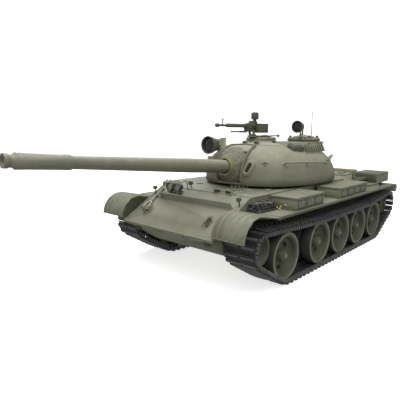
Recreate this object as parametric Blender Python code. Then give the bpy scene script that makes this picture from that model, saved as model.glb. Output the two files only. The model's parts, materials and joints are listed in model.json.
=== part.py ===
"""Radio-controlled battle tank, 1:16, modelled as separate pieces.

Lengths are given in millimetres of the full-size vehicle and reduced to the
model by MODEL. +Z is up, the gun points along -Y, the vehicle's left is +X.
"""

import math

import bmesh
import bpy
from mathutils import Matrix, Vector

# Driving dimensions, full-size millimetres
SCALE = 16
MODEL = 0.001 / SCALE           # model metres for one full-size millimetre
GAP = 5.0                       # clearance between neighbouring pieces

HULL_HALF = 1045.0              # upper hull side
TUB_HALF = 985.0                # lower hull side
WALL = 32.0                     # hull plastic thickness
FLOOR_Z = 425.0
TUB_TOP = 1128.0
ROOF_Z = 1400.0
NOSE = (-3150.0, 850.0)         # upper glacis, lower edge (y, z)
GLACIS_SLOPE = math.tan(math.radians(30.0))
HULL_REAR = 2990.0

TRACK_X = 1320.0                # middle of the track
TRACK_HALF = 290.0
LINKS = 90
PLATE = 32.0                    # link thickness at a joint
GROUSER = 50.0                  # link thickness at its grouser
WHEEL_R = 405.0
WHEEL_HALF = 225.0
WHEEL_Z = 460.0
WHEEL_Y = (-1862.0, -685.0, 202.0, 1090.0, 1978.0)
ARM_BACK = 230.0                # pivot to axle, along the hull
ARM_RISE = 100.0                # pivot above axle
IDLER = (-2562.0, 700.0)
IDLER_R = 250.0
SPROCKET = (2808.0, 720.0)
TOOTH_R = 261.0
TEETH = 13
AXLE_R = 40.0

FENDER_Z = 1183.0
FENDER_OUT = 1635.0
FENDER_REAR = 3080.0
GUARD_C = (-2790.0, 900.0)      # front mudguard arc (y, z)
GUARD_R = 372.0
SHEET = 20.0

RING_Y = 200.0                  # turret axis
RING_R = 850.0
TURRET_Z = 1425.0
TURRET_TOP = 2222.0
TURRET_HALF = 1190.0
TURRET_FRONT = 1660.0
TURRET_REAR = 1330.0

TRUNNION = Vector((0.0, -1000.0, 1750.0))
GUN_LIFT = math.radians(4.44)   # gun elevation at rest
BARREL_END = 4562.0             # muzzle, from the trunnion
SLEEVE_END = 585.0

CUPOLA = (450.0, 540.0)
LOADER = (-480.0, 300.0)
BOSS_TOP = 2230.0
LAMP_PIVOT = Vector((-520.0, -1160.0, 2150.0))
SMALL_LAMP_PIVOT = Vector((537.0, 274.0, 2512.0))
MG_PIVOT = Vector((-500.0, -40.0, 2440.0))
BEAM = (3215.0, 1065.0)
BEAM_R = 100.0
BEAM_HALF = 1600.0

FRONT_Y = TRUNNION.y - BARREL_END * math.cos(GUN_LIFT) - 6.8
MIDDLE_Y = (FRONT_Y + BEAM[0] + BEAM_R) / 2

# Colour, roughness and metallic value of each finish
FINISH = {
    "green": ((0.27, 0.28, 0.21, 1), 0.6, 0.0),
    "dark_green": ((0.17, 0.18, 0.14, 1), 0.6, 0.0),
    "track": ((0.06, 0.062, 0.075, 1), 0.5, 0.6),
    "rubber": ((0.10, 0.10, 0.085, 1), 0.8, 0.0),
    "canvas": ((0.24, 0.24, 0.18, 1), 0.9, 0.0),
    "brass": ((0.62, 0.56, 0.25, 1), 0.4, 0.9),
    "gunmetal": ((0.12, 0.12, 0.11, 1), 0.45, 0.5),
    "wood": ((0.45, 0.45, 0.41, 1), 0.7, 0.0),
    "battery": ((0.03, 0.08, 0.22, 1), 0.4, 0.0),
    "board": ((0.02, 0.16, 0.06, 1), 0.5, 0.0),
    "steel": ((0.45, 0.45, 0.46, 1), 0.35, 0.9),
}

X, Y, Z = Vector((1, 0, 0)), Vector((0, 1, 0)), Vector((0, 0, 1))
PLANE = {"X": (X, Y, Z), "Y": (Y, X, Z), "Z": (Z, X, Y)}


def to_model(point):
    """Model position of a full-size point."""
    return Vector((point[0], point[1] - MIDDLE_Y, point[2])) * MODEL


def material(name, finish):
    colour, roughness, metallic = FINISH[finish]
    result = bpy.data.materials.new(name)
    result.use_nodes = True
    shader = result.node_tree.nodes["Principled BSDF"]
    shader.inputs["Base Color"].default_value = colour
    shader.inputs["Roughness"].default_value = roughness
    shader.inputs["Metallic"].default_value = metallic
    return result


def place(name, bm, pivot, tilt=0.0):
    """Object from a bmesh drawn about the full-size origin, set on its pivot."""
    bmesh.ops.remove_doubles(bm, verts=bm.verts, dist=0.02)
    bmesh.ops.recalc_face_normals(bm, faces=bm.faces)
    bm.transform(Matrix.Scale(MODEL, 4))
    mesh = bpy.data.meshes.new(name)
    bm.to_mesh(mesh)
    bm.free()
    obj = bpy.data.objects.new(name, mesh)
    obj.location = to_model(pivot)
    obj.rotation_euler = (tilt, 0.0, 0.0)
    bpy.context.collection.objects.link(obj)
    return obj


def part(name, bm, finish, pivot=(0.0, 0.0, 0.0), tilt=0.0, local=False):
    """Named piece; its shape is in vehicle positions unless it is local to the pivot."""
    if not local:
        bmesh.ops.translate(bm, verts=bm.verts, vec=-Vector(pivot))
    obj = place(name, bm, pivot, tilt)
    obj.data.materials.append(material(name, finish))
    obj.data.shade_smooth()
    obj.data.set_sharp_from_angle(angle=math.radians(32))
    return obj


def tool(bm, pivot=(0.0, 0.0, 0.0), tilt=0.0):
    """Guide solid that a Boolean uses; it is no piece of the vehicle."""
    obj = place("guide", bm, pivot, tilt)
    obj.hide_render = True
    obj.display_type = "WIRE"
    return obj


def combine(obj, operation, tools):
    for other in tools:
        modifier = obj.modifiers.new(operation.lower(), "BOOLEAN")
        modifier.operation = operation
        modifier.solver = "EXACT"
        modifier.object = other
    return obj


def unite(obj, *tools):
    return combine(obj, "UNION", tools)


def cut(obj, *tools):
    return combine(obj, "DIFFERENCE", tools)


def prism(outline, axis, low, high):
    """Solid between two planes across an axis, from an outline in that plane."""
    along, right, up = PLANE[axis]
    bm = bmesh.new()
    corners = [bm.verts.new(right * a + up * b + along * low) for a, b in outline]
    face = bm.faces.new(corners)
    made = bmesh.ops.extrude_face_region(bm, geom=[face])["geom"]
    moved = [v for v in made if isinstance(v, bmesh.types.BMVert)]
    bmesh.ops.translate(bm, verts=moved, vec=along * (high - low))
    return bm


def block(low, high):
    outline = [(low[0], low[1]), (high[0], low[1]), (high[0], high[1]), (low[0], high[1])]
    return prism(outline, "Z", low[2], high[2])


def lathe(profile, along, centre=(0.0, 0.0, 0.0), steps=16, ring=False):
    """Solid turned from (radius, distance along the axis) points."""
    along = Vector(along)
    centre = Vector(centre)
    radial = along.orthogonal().normalized()
    bm = bmesh.new()
    points = [bm.verts.new(centre + radial * r + along * a) for r, a in profile]
    pairs = list(zip(points, points[1:]))
    if ring:
        pairs.append((points[-1], points[0]))
    edges = [bm.edges.new(pair) for pair in pairs]
    bmesh.ops.spin(bm, geom=points + edges, cent=centre, axis=along,
                   angle=math.tau, steps=steps, use_merge=True)
    bmesh.ops.remove_doubles(bm, verts=bm.verts, dist=0.02)
    return bm


def cylinder(radius, low, high, along, centre=(0.0, 0.0, 0.0), steps=12):
    return lathe([(0, low), (radius, low), (radius, high), (0, high)], along, centre, steps)


def arc(centre, radius, start, end, steps):
    """Points along an arc, angles in degrees."""
    points = []
    for i in range(steps + 1):
        angle = math.radians(start + (end - start) * i / steps)
        points.append((centre[0] + radius * math.cos(angle), centre[1] + radius * math.sin(angle)))
    return points


def stadium(first, second, r_first, r_second, steps=5):
    """Outline round two circles."""
    heading = math.degrees(math.atan2(second[1] - first[1], second[0] - first[0]))
    return (arc(first, r_first, heading + 90, heading + 270, steps)
            + arc(second, r_second, heading - 90, heading + 90, steps))


def loft(rings):
    """Skin over rings with equal counts of points, capped at both ends."""
    bm = bmesh.new()
    loops = [[bm.verts.new(p) for p in ring] for ring in rings]
    count = len(loops[0])
    for lower, upper in zip(loops, loops[1:]):
        for i in range(count):
            j = (i + 1) % count
            bm.faces.new((lower[i], lower[j], upper[j], upper[i]))
    bm.faces.new(loops[0][::-1])
    bm.faces.new(loops[-1])
    bmesh.ops.triangulate(bm, faces=bm.faces)
    return bm


# Hull

def glacis_z(y):
    return NOSE[1] + GLACIS_SLOPE * (y - NOSE[0])


def hull_tub():
    seam = 50.0                 # glacis plate depth, measured upright
    outline = [(-2450, FLOOR_Z), (-3090, glacis_z(-3090) - seam), (-2582, TUB_TOP),
               (2960, TUB_TOP), (2985, 1000), (2780, FLOOR_Z)]
    hollow = [(-2436, FLOOR_Z + WALL), (-3058, 834), (-3058, 1200),
              (2925, 1200), (2950, 1000), (2757, FLOOR_Z + WALL)]
    tub = part("hull_tub", prism(outline, "X", -TUB_HALF, TUB_HALF), "green")
    cut(tub, tool(prism(hollow, "X", WALL - TUB_HALF, TUB_HALF - WALL)))
    door = tool(block((-300, -900, 400), (300, 300, 500)))
    slot = tool(block((-30, -1580, 400), (30, -1400, 500)))
    shaft = tool(cylinder(50, -1100, 1100, X, (0, *SPROCKET)))
    cut(tub, door, slot, shaft)
    for side in (-1, 1):
        idler = cylinder(AXLE_R, TUB_HALF - 20, TRACK_X + 20, X * side, (0, *IDLER), 10)
        unite(tub, tool(idler))
        for y in WHEEL_Y:
            pivot = (0, y - ARM_BACK, WHEEL_Z + ARM_RISE)
            unite(tub, tool(cylinder(28, TUB_HALF - 20, TUB_HALF + 45, X * side, pivot, 8)))
    return tub


def hull_deck():
    top_y = NOSE[0] + (ROOF_Z - NOSE[1]) / GLACIS_SLOPE
    low = TUB_TOP + 7.0
    break_y = 1350.0            # the rear deck's bevelled sides start here
    outline = [NOSE, (top_y, ROOF_Z), (break_y, ROOF_Z), (break_y, low), (-2577, low + 3), (-3112, 829)]
    deck = part("hull_deck", prism(outline, "X", -HULL_HALF, HULL_HALF), "green")
    section = [(-HULL_HALF, low), (-HULL_HALF, 1250), (-840, ROOF_Z),
               (840, ROOF_Z), (HULL_HALF, 1250), (HULL_HALF, low)]
    unite(deck, tool(prism(section, "Y", break_y - 10, HULL_REAR)))
    front_hollow = [(-2575, 1100), (-2575, 1136), (top_y + 10, ROOF_Z - 40), (1320, ROOF_Z - 40), (1320, 1100)]
    rear_hollow = [(-1005, 1090), (-1005, 1238), (-820, ROOF_Z - 38),
                   (820, ROOF_Z - 38), (1005, 1238), (1005, 1090)]
    cut(deck,
        tool(prism(front_hollow, "X", -1005, 1005)),
        tool(prism(rear_hollow, "Y", 1310, HULL_REAR - 40)),
        tool(cylinder(RING_R, 1250, 1450, Z, (0, RING_Y, 0), 24)),
        tool(prism(stadium((480, -1960), (480, -1840), 185, 185), "Z", 1250, 1450)),
        tool(block((-760, 1950, 1250), (760, 2900, 1450))))
    for x in (-700, 700):
        y = -2870.0
        hook = [(y - 70, glacis_z(y - 70) - 20), (y + 110, glacis_z(y + 110) - 20),
                (y + 110, glacis_z(y + 110) + 60), (y + 20, glacis_z(y) + 120),
                (y - 40, glacis_z(y) + 70), (y + 10, glacis_z(y) + 60), (y - 70, glacis_z(y - 70) + 35)]
        unite(deck, tool(prism(hook, "X", x - 35, x + 35)))
    unite(deck, splash_board())
    return deck


def engine_deck():
    low, high = ROOF_Z + GAP, ROOF_Z + 22
    cover = part("engine_deck", block((-800, 1900, low), (800, 2945, high)), "green")
    unite(cover, tool(block((-750, 1960, 1372), (750, 2890, low + 8))))
    unite(cover, tool(block((-720, 2520, high - 8), (720, 2920, high + 22))))
    for x in (-640, 40):
        unite(cover, tool(block((x, 2010, high - 8), (x + 600, 2420, high + 12))))
    return cover


def fender(side):
    """Track guard with its rounded front mudguard and the web beside the glacis."""
    name = "fender_left" if side > 0 else "fender_right"
    top = [(FENDER_REAR, FENDER_Z - 6), (FENDER_REAR - 60, FENDER_Z), (-2330, FENDER_Z)]
    top += arc(GUARD_C, GUARD_R, 78, 176, 8)
    bottom = arc(GUARD_C, GUARD_R - SHEET, 176, 78, 8)
    bottom += [(-2330, FENDER_Z - SHEET), (FENDER_REAR - 60, FENDER_Z - SHEET),
               (FENDER_REAR, FENDER_Z - SHEET - 60)]
    inner = HULL_HALF + GAP
    low, high = sorted((side * inner, side * FENDER_OUT))
    guard = part(name, prism(top + bottom, "X", low, high), "green")
    web = arc(GUARD_C, GUARD_R - 6, 175, 78, 8)
    web += [(-2330, FENDER_Z - 8), (-2330, FENDER_Z - 40), (-3110, glacis_z(-3110))]
    low, high = sorted((side * (inner + 1), side * (inner + 21)))
    unite(guard, tool(prism(web, "X", low, high)))
    low, high = sorted((side * (FENDER_OUT - 12), side * (FENDER_OUT - 1)))
    unite(guard, tool(block((low, -2300, FENDER_Z - 45), (high, FENDER_REAR - 70, FENDER_Z - 4))))
    if side > 0:
        unite(guard, tool(block((1330, 1340, FENDER_Z - 10), (1625, 1940, FENDER_Z + 90))))
    return guard


def splash_board():
    """Shield across the glacis that throws water clear of the roof."""
    foot_y = -2483.0
    foot = Vector((0, foot_y, glacis_z(foot_y)))
    up = Vector((0, -math.sin(math.radians(30)), math.cos(math.radians(30))))
    back = Vector((0, up.z, -up.y))
    corners = [foot - up * 20, foot + up * 105, foot + up * 105 + back * 20, foot - up * 20 + back * 20]
    return tool(prism([(c.y, c.z) for c in corners], "X", -760, 900))


def driver_hatch():
    lid = prism(stadium((480, -1960), (480, -1840), 178, 178), "Z", ROOF_Z - 20, ROOF_Z + 18)
    return part("driver_hatch", lid, "green", (480, -1655, ROOF_Z))


def headlight_unit():
    """Pair of headlights on one foot, right of the driver."""
    y = -2330.0
    under, over = glacis_z(y - 60), glacis_z(y + 20)
    foot = [(y - 60, under + GAP), (y + 20, over + GAP), (y + 20, over + 60), (y - 60, under + 60)]
    unit = part("headlight_unit", prism(foot, "X", -700, -350), "dark_green")
    height = under + 150
    for x in (-620, -430):
        profile = [(0, -75), (45, -70), (70, -20), (76, 60), (0, 60)]
        unite(unit, tool(lathe(profile, -Y, (x, y - 20, height), 12)))
        unite(unit, tool(block((x - 18, y - 45, under + 58), (x + 18, y - 5, height - 40))))
    return unit


def stowage():
    low = FENDER_Z + GAP + 2
    boxes = [("stowage_box_front", 1100, 1600, -1722, -738, 1405),
             ("stowage_box_middle", 1100, 1600, -69, 1274, 1398),
             ("fuel_tank_front", -1600, -1100, -1722, -300, 1400),
             ("fuel_tank_rear", -1600, -1100, -120, 1300, 1400)]
    made = []
    for name, x_low, x_high, y_low, y_high, top in boxes:
        bin_ = part(name, block((x_low, y_low, low), (x_high, y_high, top)), "green")
        bevel = bin_.modifiers.new("edges", "BEVEL")
        bevel.width = 14 * MODEL
        bevel.segments = 1
        bevel.limit_method = "ANGLE"
        made.append(bin_)
    for side, name in ((1, "rear_box_left"), (-1, "rear_box_right")):
        section = [(1500, 1262), (1500, 1490), (935, 1490), (935, 1348), (1050, 1262)]
        box = part(name, prism([(x * side, z) for x, z in section], "Y", 2100, 2900), "green")
        for y in (2200, 2700):
            low_x, high_x = sorted((side * 1200, side * 1400))
            unite(box, tool(block((low_x, y, low), (high_x, y + 90, 1275))))
        made.append(box)
    return made


def unditching_beam():
    y, z = BEAM
    beam = part("unditching_beam", cylinder(BEAM_R, -BEAM_HALF, BEAM_HALF, X, (0, y, z), 16), "wood")
    for x in (-1010, 1010):
        strap = [(HULL_REAR + GAP, z + 60), (HULL_REAR + GAP, z + 20 + 130), (y, z + 130), (y, z + 60)]
        unite(beam, tool(prism(strap, "X", x - 20, x + 20)))
    return beam


def tow_cable():
    """Cable end with its ferrule and loop, lying on the glacis at the right."""
    lift = 40.0
    route = []
    for x, y in ((-890, -2330), (-875, -2430), (-860, -2560), (-850, -2650)):
        route.append((x, y, glacis_z(y) + lift))
    for i in range(9):
        turn = math.radians(90 - 360 * i / 9 * 0.94)
        x = -850 + 62 * math.cos(turn)
        y = -2745 + 80 * math.sin(turn)
        route.append((x, y, glacis_z(y) + lift))
    curve = bpy.data.curves.new("tow_cable", "CURVE")
    curve.dimensions = "3D"
    curve.bevel_depth = 15 * MODEL
    curve.bevel_resolution = 1
    curve.use_fill_caps = True
    spline = curve.splines.new("POLY")
    spline.points.add(len(route) - 1)
    for point, position in zip(spline.points, route):
        point.co = (*to_model(position), 1)
    cable = bpy.data.objects.new("tow_cable", curve)
    bpy.context.collection.objects.link(cable)
    curve.materials.append(material("tow_cable", "steel"))
    return cable


# Running gear

def tangent_points(first, r_first, second, r_second):
    """External tangent that keeps both circles on its left."""
    a, b = Vector(first), Vector(second)
    reach = b - a
    base = math.atan2(reach.y, reach.x)
    spread = math.asin((r_first - r_second) / reach.length)
    angle = base - math.pi / 2 + spread
    normal = Vector((math.cos(angle), math.sin(angle)))
    return a + normal * r_first, b + normal * r_second


def track_path():
    """Inner face of the belt, in order: idler, under the wheels, sprocket, top run."""
    front = (WHEEL_Y[0], WHEEL_Z + 6)
    rear = (WHEEL_Y[-1], WHEEL_Z + 6)
    circles = [(IDLER, 266.0), (front, 416.0), (rear, 416.0), (SPROCKET, 275.0)]
    rest_z = WHEEL_Z + WHEEL_R + GAP + 2
    rests = [((1500.0, rest_z), 0.0), ((-700.0, rest_z), 0.0)]
    stops = circles + rests
    path = []
    for i, (centre, radius) in enumerate(stops):
        before, r_before = stops[i - 1]
        after, r_after = stops[(i + 1) % len(stops)]
        arrive = tangent_points(before, r_before, centre, radius)[1]
        leave = tangent_points(centre, radius, after, r_after)[0]
        if radius == 0.0:
            path.append(Vector(centre))
            continue
        start = math.atan2(arrive.y - centre[1], arrive.x - centre[0])
        sweep = (math.atan2(leave.y - centre[1], leave.x - centre[0]) - start) % math.tau
        for k in range(25):
            angle = start + sweep * k / 24
            path.append(Vector(centre) + Vector((math.cos(angle), math.sin(angle))) * radius)
    return path


def evenly(path, count):
    """Points at equal distances along a closed path."""
    closed = path + [path[0]]
    lengths = [(b - a).length for a, b in zip(closed, closed[1:])]
    pitch = sum(lengths) / count
    points = []
    along = 0.0
    target = 0.0
    for (a, b), length in zip(zip(closed, closed[1:]), lengths):
        while target < along + length and len(points) < count:
            points.append(a.lerp(b, (target - along) / length))
            target += pitch
        along += length
    return points


def track(side):
    """One belt of links, each with its grouser."""
    name = "track_left" if side > 0 else "track_right"
    joints = evenly(track_path(), LINKS)
    middle = sum(joints, Vector((0, 0))) / LINKS
    normals = []
    for i, here in enumerate(joints):
        step = joints[(i + 1) % LINKS] - here
        normal = Vector((step.y, -step.x)).normalized()
        if normal.dot(here - middle) < 0:
            normal = -normal
        normals.append(normal)
    bm = bmesh.new()
    edges = (side * (TRACK_X - TRACK_HALF), side * (TRACK_X + TRACK_HALF))

    def pair(point):
        return [bm.verts.new((x, point.x, point.y)) for x in edges]

    inner = [pair(p) for p in joints]
    outer = []
    for i, here in enumerate(joints):
        mitre = (normals[i - 1] + normals[i]).normalized()
        outer.append(pair(here + mitre * PLATE))
    for i in range(LINKS):
        j = (i + 1) % LINKS
        lift = normals[i] * GROUSER
        rise = pair(joints[i].lerp(joints[j], 0.25) + lift)
        fall = pair(joints[i].lerp(joints[j], 0.75) + lift)
        chain = [outer[i], rise, fall, outer[j]]
        for a, b in zip(chain, chain[1:]):
            bm.faces.new((a[0], a[1], b[1], b[0]))
        bm.faces.new((inner[i][0], inner[j][0], inner[j][1], inner[i][1]))
        for k in (0, 1):
            bm.faces.new([inner[i][k]] + [c[k] for c in chain] + [inner[j][k]])
    return part(name, bm, "track")


def road_wheel(name, side, y):
    profile = [(0, 40), (46, 40), (46, -190), (330, -130), (345, -WHEEL_HALF), (WHEEL_R, -WHEEL_HALF),
               (WHEEL_R, WHEEL_HALF), (345, WHEEL_HALF), (325, 110), (110, 110), (90, 185), (0, 185)]
    wheel = lathe(profile, X * side, (0, 0, 0), 16)
    return part(name, wheel, "green", (side * TRACK_X, y, WHEEL_Z), local=True)


def idler(side):
    name = "idler_left" if side > 0 else "idler_right"
    profile = [(0, 30), (46, 30), (46, -150), (200, -100), (210, -190), (IDLER_R, -190),
               (IDLER_R, 190), (205, 190), (195, 80), (80, 80), (70, 140), (0, 140)]
    return part(name, lathe(profile, X * side, (0, 0, 0), 16), "green",
                (side * TRACK_X, *IDLER), local=True)


def sprocket(side):
    """Drive wheel: a drum between two toothed rings."""
    name = "sprocket_left" if side > 0 else "sprocket_right"
    drum = lathe([(0, -150), (190, -150), (190, 150), (80, 130), (70, 170), (0, 170)],
                 X * side, (0, 0, 0), 16)
    wheel = part(name, drum, "green", (side * TRACK_X, *SPROCKET), local=True)
    outline = []
    for i in range(TEETH):
        for share, radius in ((0.0, 214.0), (0.3, 214.0), (0.52, TOOTH_R), (0.78, TOOTH_R)):
            angle = math.tau * (i + share) / TEETH
            outline.append((radius * math.cos(angle), radius * math.sin(angle)))
    for low in (-140, 100):
        ring = tool(prism(outline, "X", low, low + 40), (side * TRACK_X, *SPROCKET))
        unite(wheel, ring)
    bore = cylinder(46, -200, 34, X * side, (0, 0, 0), 12)
    cut(wheel, tool(bore, (side * TRACK_X, *SPROCKET)))
    return wheel


def swing_arm(name, side, y):
    """Suspension arm with its axle; its pivot turns on the hull's pin."""
    pivot = (side * (TUB_HALF + GAP + 2), y - ARM_BACK, WHEEL_Z + ARM_RISE)
    outline = stadium((0, 0), (ARM_BACK, -ARM_RISE), 75, 60, 4)
    low, high = sorted((0, side * 60))
    arm = part(name, prism(outline, "X", low, high), "dark_green", pivot, local=True)
    reach = TRACK_X + 34 - TUB_HALF - GAP - 2
    axle = cylinder(AXLE_R, 40, reach, X * side, (0, ARM_BACK, -ARM_RISE), 10)
    unite(arm, tool(axle, pivot))
    cut(arm, tool(cylinder(34, -20, 46, X * side, (0, 0, 0), 8), pivot))
    return arm


def running_gear():
    for side, word in ((1, "left"), (-1, "right")):
        track(side)
        idler(side)
        sprocket(side)
        for i, y in enumerate(WHEEL_Y):
            road_wheel(f"road_wheel_{word}_{i + 1}", side, y)
            swing_arm(f"swing_arm_{word}_{i + 1}", side, y)


# Turret

def turret_ring(height, grow=0.0, count=40):
    """Outline of the cast turret at a share of its height."""
    rear_fall = (1 - height ** 2.5) ** 0.4
    front_fall = (1 - height ** 4) ** 0.2
    points = []
    z = TURRET_Z + height * (TURRET_TOP - TURRET_Z + grow)
    for i in range(count):
        angle = math.tau * i / count
        c, s = math.cos(angle), math.sin(angle)
        front = s < 0
        power = 2 / 2.6 if front else 2 / 2.1
        reach = (TURRET_FRONT + grow) * front_fall if front else (TURRET_REAR + grow) * rear_fall
        x = (TURRET_HALF + grow) * rear_fall * math.copysign(abs(c) ** power, c)
        y = RING_Y + reach * math.copysign(abs(s) ** power, s)
        points.append(Vector((x, y, z)))
    return points


def turret_body(grow=0.0):
    """Cast dome with a turned-in lower edge."""
    heights = (0.04, 0.2, 0.38, 0.55, 0.7, 0.82, 0.91, 0.97, 0.993)
    rings = [turret_ring(h, grow) for h in heights]
    foot = [Vector((p.x * 0.93, RING_Y + (p.y - RING_Y) * 0.93, TURRET_Z)) for p in rings[0]]
    return loft([foot] + rings)


def turret_shell():
    shell = part("turret_shell", turret_body(), "green", (0, RING_Y, TURRET_Z))
    collar = stadium((470, 40), CUPOLA, 400, 400, 6)
    unite(shell,
          tool(prism(collar, "Z", 1960, BOSS_TOP)),
          tool(cylinder(350, 2000, BOSS_TOP, Z, (*LOADER, 0), 20)),
          tool(cylinder(45, 1960, 2100, Z, (350, 1075, 0), 10)),
          tool(cylinder(RING_R - 12, 1330, TURRET_Z + 30, Z, (0, RING_Y, 0), 24)))
    x, y, z = LAMP_PIVOT
    for low in (x - 50, x + 20):
        ear = [(y - 45, z - 45), (y - 45, z + 45), (y + 40, z + 55), (y + 330, z - 60), (y + 330, z - 160), (y + 30, z - 70)]
        unite(shell, tool(prism(ear, "X", low, low + 30)))
    unite(shell, tool(block((x - 83, y + 74, z - 190), (x + 83, y + 156, z + 130))))
    hollow = [(0, 2122), (473, 2122), (731, 1984), (793, 1793), (793, 1300), (0, 1300)]
    cut(shell,
        tool(lathe(hollow, Z, (0, RING_Y, 0), 18)),
        tool(block((-270, -1750, 1490), (270, -400, 2060))),
        tool(block((-150, -800, 1440), (150, -400, 1600))),
        tool(cylinder(66, -360, 360, X, TRUNNION, 12)))
    return shell


def gun_point(distance):
    """Full-size position on the bore's axis."""
    return TRUNNION + Vector((0, -math.cos(GUN_LIFT), math.sin(GUN_LIFT))) * distance


def gun_mount():
    """Cradle: trunnion drum, recoil sleeve and breech block, drawn level about the trunnion."""
    drum = part("gun_mount", cylinder(150, -255, 255, X, steps=16), "gunmetal",
                TRUNNION, -GUN_LIFT, local=True)
    unite(drum,
          tool(cylinder(60, -350, 350, X, steps=12), TRUNNION, -GUN_LIFT),
          tool(cylinder(140, 60, SLEEVE_END, -Y, steps=20), TRUNNION, -GUN_LIFT),
          tool(block((-120, 60, -140), (120, 620, 140)), TRUNNION, -GUN_LIFT))
    cut(drum, tool(cylinder(130, 170, SLEEVE_END + 50, -Y, steps=20), TRUNNION, -GUN_LIFT))
    return drum


def gun_barrel():
    end = BARREL_END
    profile = [(0, 375), (121, 375), (121, 1500), (86, 3690), (98, 3722), (98, 4420), (84, 4445),
               (78, 4452), (78, end - 60), (88, end - 54), (88, end), (50, end), (50, end - 200), (0, end - 200)]
    return part("gun_barrel", lathe(profile, -Y, steps=20), "green", TRUNNION, -GUN_LIFT, local=True)


def canvas_clamp():
    profile = [(146, 566), (166, 566), (166, 592), (146, 592)]
    return part("canvas_clamp", lathe(profile, -Y, steps=20, ring=True), "brass",
                TRUNNION, -GUN_LIFT, local=True)


def mantlet_cover():
    """Canvas dust cover between the turret's gun port and the sleeve."""
    count = 20
    across = Vector((0, math.sin(GUN_LIFT), math.cos(GUN_LIFT)))
    front, rear = [], []
    for i in range(count):
        angle = math.tau * i / count
        c, s = math.cos(angle), math.sin(angle)
        front.append(gun_point(560) + X * 165 * c + across * 165 * s)
        x = -20 + 312 * math.copysign(abs(c) ** 0.7, c)
        z = 1800 + 345 * math.copysign(abs(s) ** 0.7, s)
        rear.append(Vector((x, -900.0, z)))
    bulge = []
    for near, far in zip(front, rear):
        lean = 0.3 if far.z > 1950 else 0.0
        bulge.append(Vector((far.x, -1405.0 + lean * (far.z - 1950) * 3, far.z)))
    cover = part("mantlet_cover", loft([rear, bulge, front]), "canvas")
    cut(cover, tool(turret_body(12.0)))
    cut(cover, tool(cylinder(147, -200, 900, -Y, steps=20), TRUNNION, -GUN_LIFT))
    return cover


def gun_searchlight():
    x, y, z = LAMP_PIVOT
    lens = Vector((x, -1456, 2171))
    profile = [(0, 0), (160, 0), (160, 12), (175, 12), (175, -70), (150, -110), (110, -215), (0, -215)]
    lamp = part("gun_searchlight", lathe(profile, -Y, lens, 20), "gunmetal", LAMP_PIVOT)
    lug = [(lens.y + 195, z - 30), (lens.y + 195, z + 45), (y + 30, z + 30), (y + 30, z - 30)]
    unite(lamp, tool(prism(lug, "X", x - 14, x + 14)))
    return lamp


def commander_cupola():
    ring = [(215, 2236), (330, 2236), (330, 2300), (300, 2312), (215, 2312)]
    cupola = part("commander_cupola", lathe(ring, Z, (*CUPOLA, 0), 20, ring=True), "green",
                  (*CUPOLA, BOSS_TOP))
    x, y, z = SMALL_LAMP_PIVOT
    unite(cupola, tool(block((x - 45, y - 44, 2300), (x + 45, y + 18, 2332))))
    for low in (x - 34, x + 14):
        post = [(y - 36, 2300), (y - 16, 2380), (y - 16, z + 30), (y + 20, z + 30), (y + 20, 2380), (y + 14, 2300)]
        unite(cupola, tool(prism(post, "X", low, low + 20)))
    return cupola


def hatch(name, centre, hinge_y):
    lid = [(0, 2318), (238, 2318), (238, 2330), (180, 2346), (0, 2350)]
    return part(name, lathe(lid, Z, (*centre, 0), 16), "green", (centre[0], hinge_y, 2330))


def cupola_searchlight():
    x, y, z = SMALL_LAMP_PIVOT
    lens = Vector((x, y - 190, z + 22))
    profile = [(0, 0), (112, 0), (112, 10), (125, 10), (125, -60), (80, -150), (0, -160)]
    lamp = part("cupola_searchlight", lathe(profile, -Y, lens, 16), "gunmetal", SMALL_LAMP_PIVOT)
    unite(lamp, tool(block((x - 9, lens.y + 130, z - 22), (x + 9, y + 20, z + 22))))
    return lamp


def loader_ring():
    ring = [(215, 2236), (335, 2236), (335, 2285), (300, 2312), (215, 2312)]
    return part("loader_ring", lathe(ring, Z, (*LOADER, 0), 20, ring=True), "green", (*LOADER, BOSS_TOP))


def mg_mount():
    """Pintle on the loader's ring, with a fork for the gun cradle."""
    x, y, z = MG_PIVOT
    low = 2312 + GAP
    foot = [(y - 40, low), (y + 105, low), (y + 60, 2362), (y + 36, z - 54), (y - 30, z - 54), (y - 30, 2362)]
    mount = part("mg_mount", prism(foot, "X", x - 55, x + 75), "gunmetal", (x, y, low))
    for edge in (x - 66, x + 42):
        unite(mount, tool(block((edge, y - 28, 2385), (edge + 24, y + 34, z + 30))))
    return mount


def machine_gun():
    x, y, z = MG_PIVOT
    axis_z = 2556.0
    gun = part("machine_gun", block((x - 48, -290, 2500), (x + 48, 260, 2598)), "gunmetal", MG_PIVOT)
    start = Vector((x, 0, axis_z))
    jacket = [(0, 270), (30, 270), (30, 930), (17, 950), (17, 1160), (36, 1185), (36, 1240), (20, 1262), (0, 1262)]
    unite(gun, tool(lathe(jacket, -Y, start, 10)))
    unite(gun,
          tool(block((x - 6, -1052, axis_z + 8), (x + 6, -1030, 2690))),
          tool(block((x - 34, -250, z - 32), (x + 34, 200, 2520))),
          tool(cylinder(17, 230, 770, -Y, (x, 0, z - 10), 8)),
          tool(block((x + 44, 10, 2405), (x + 170, 370, 2585))),
          tool(block((x - 15, 40, 2580), (x + 15, 80, 2720))),
          tool(block((x - 62, 10, 2700), (x + 62, 130, 2845))))
    return gun


def antenna():
    rod = [(0, 2106), (34, 2106), (34, 2150), (18, 2165), (9, 2210), (6, 2876), (0, 2876)]
    return part("antenna", lathe(rod, Z, (350, 1075, 0), 8), "gunmetal", (350, 1075, 2106))


# Inside the hull

def battery_door():
    bm = block((-293, -893, FLOOR_Z + 2), (293, 293, FLOOR_Z + 28))
    return part("battery_door", bm, "dark_green")


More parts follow.
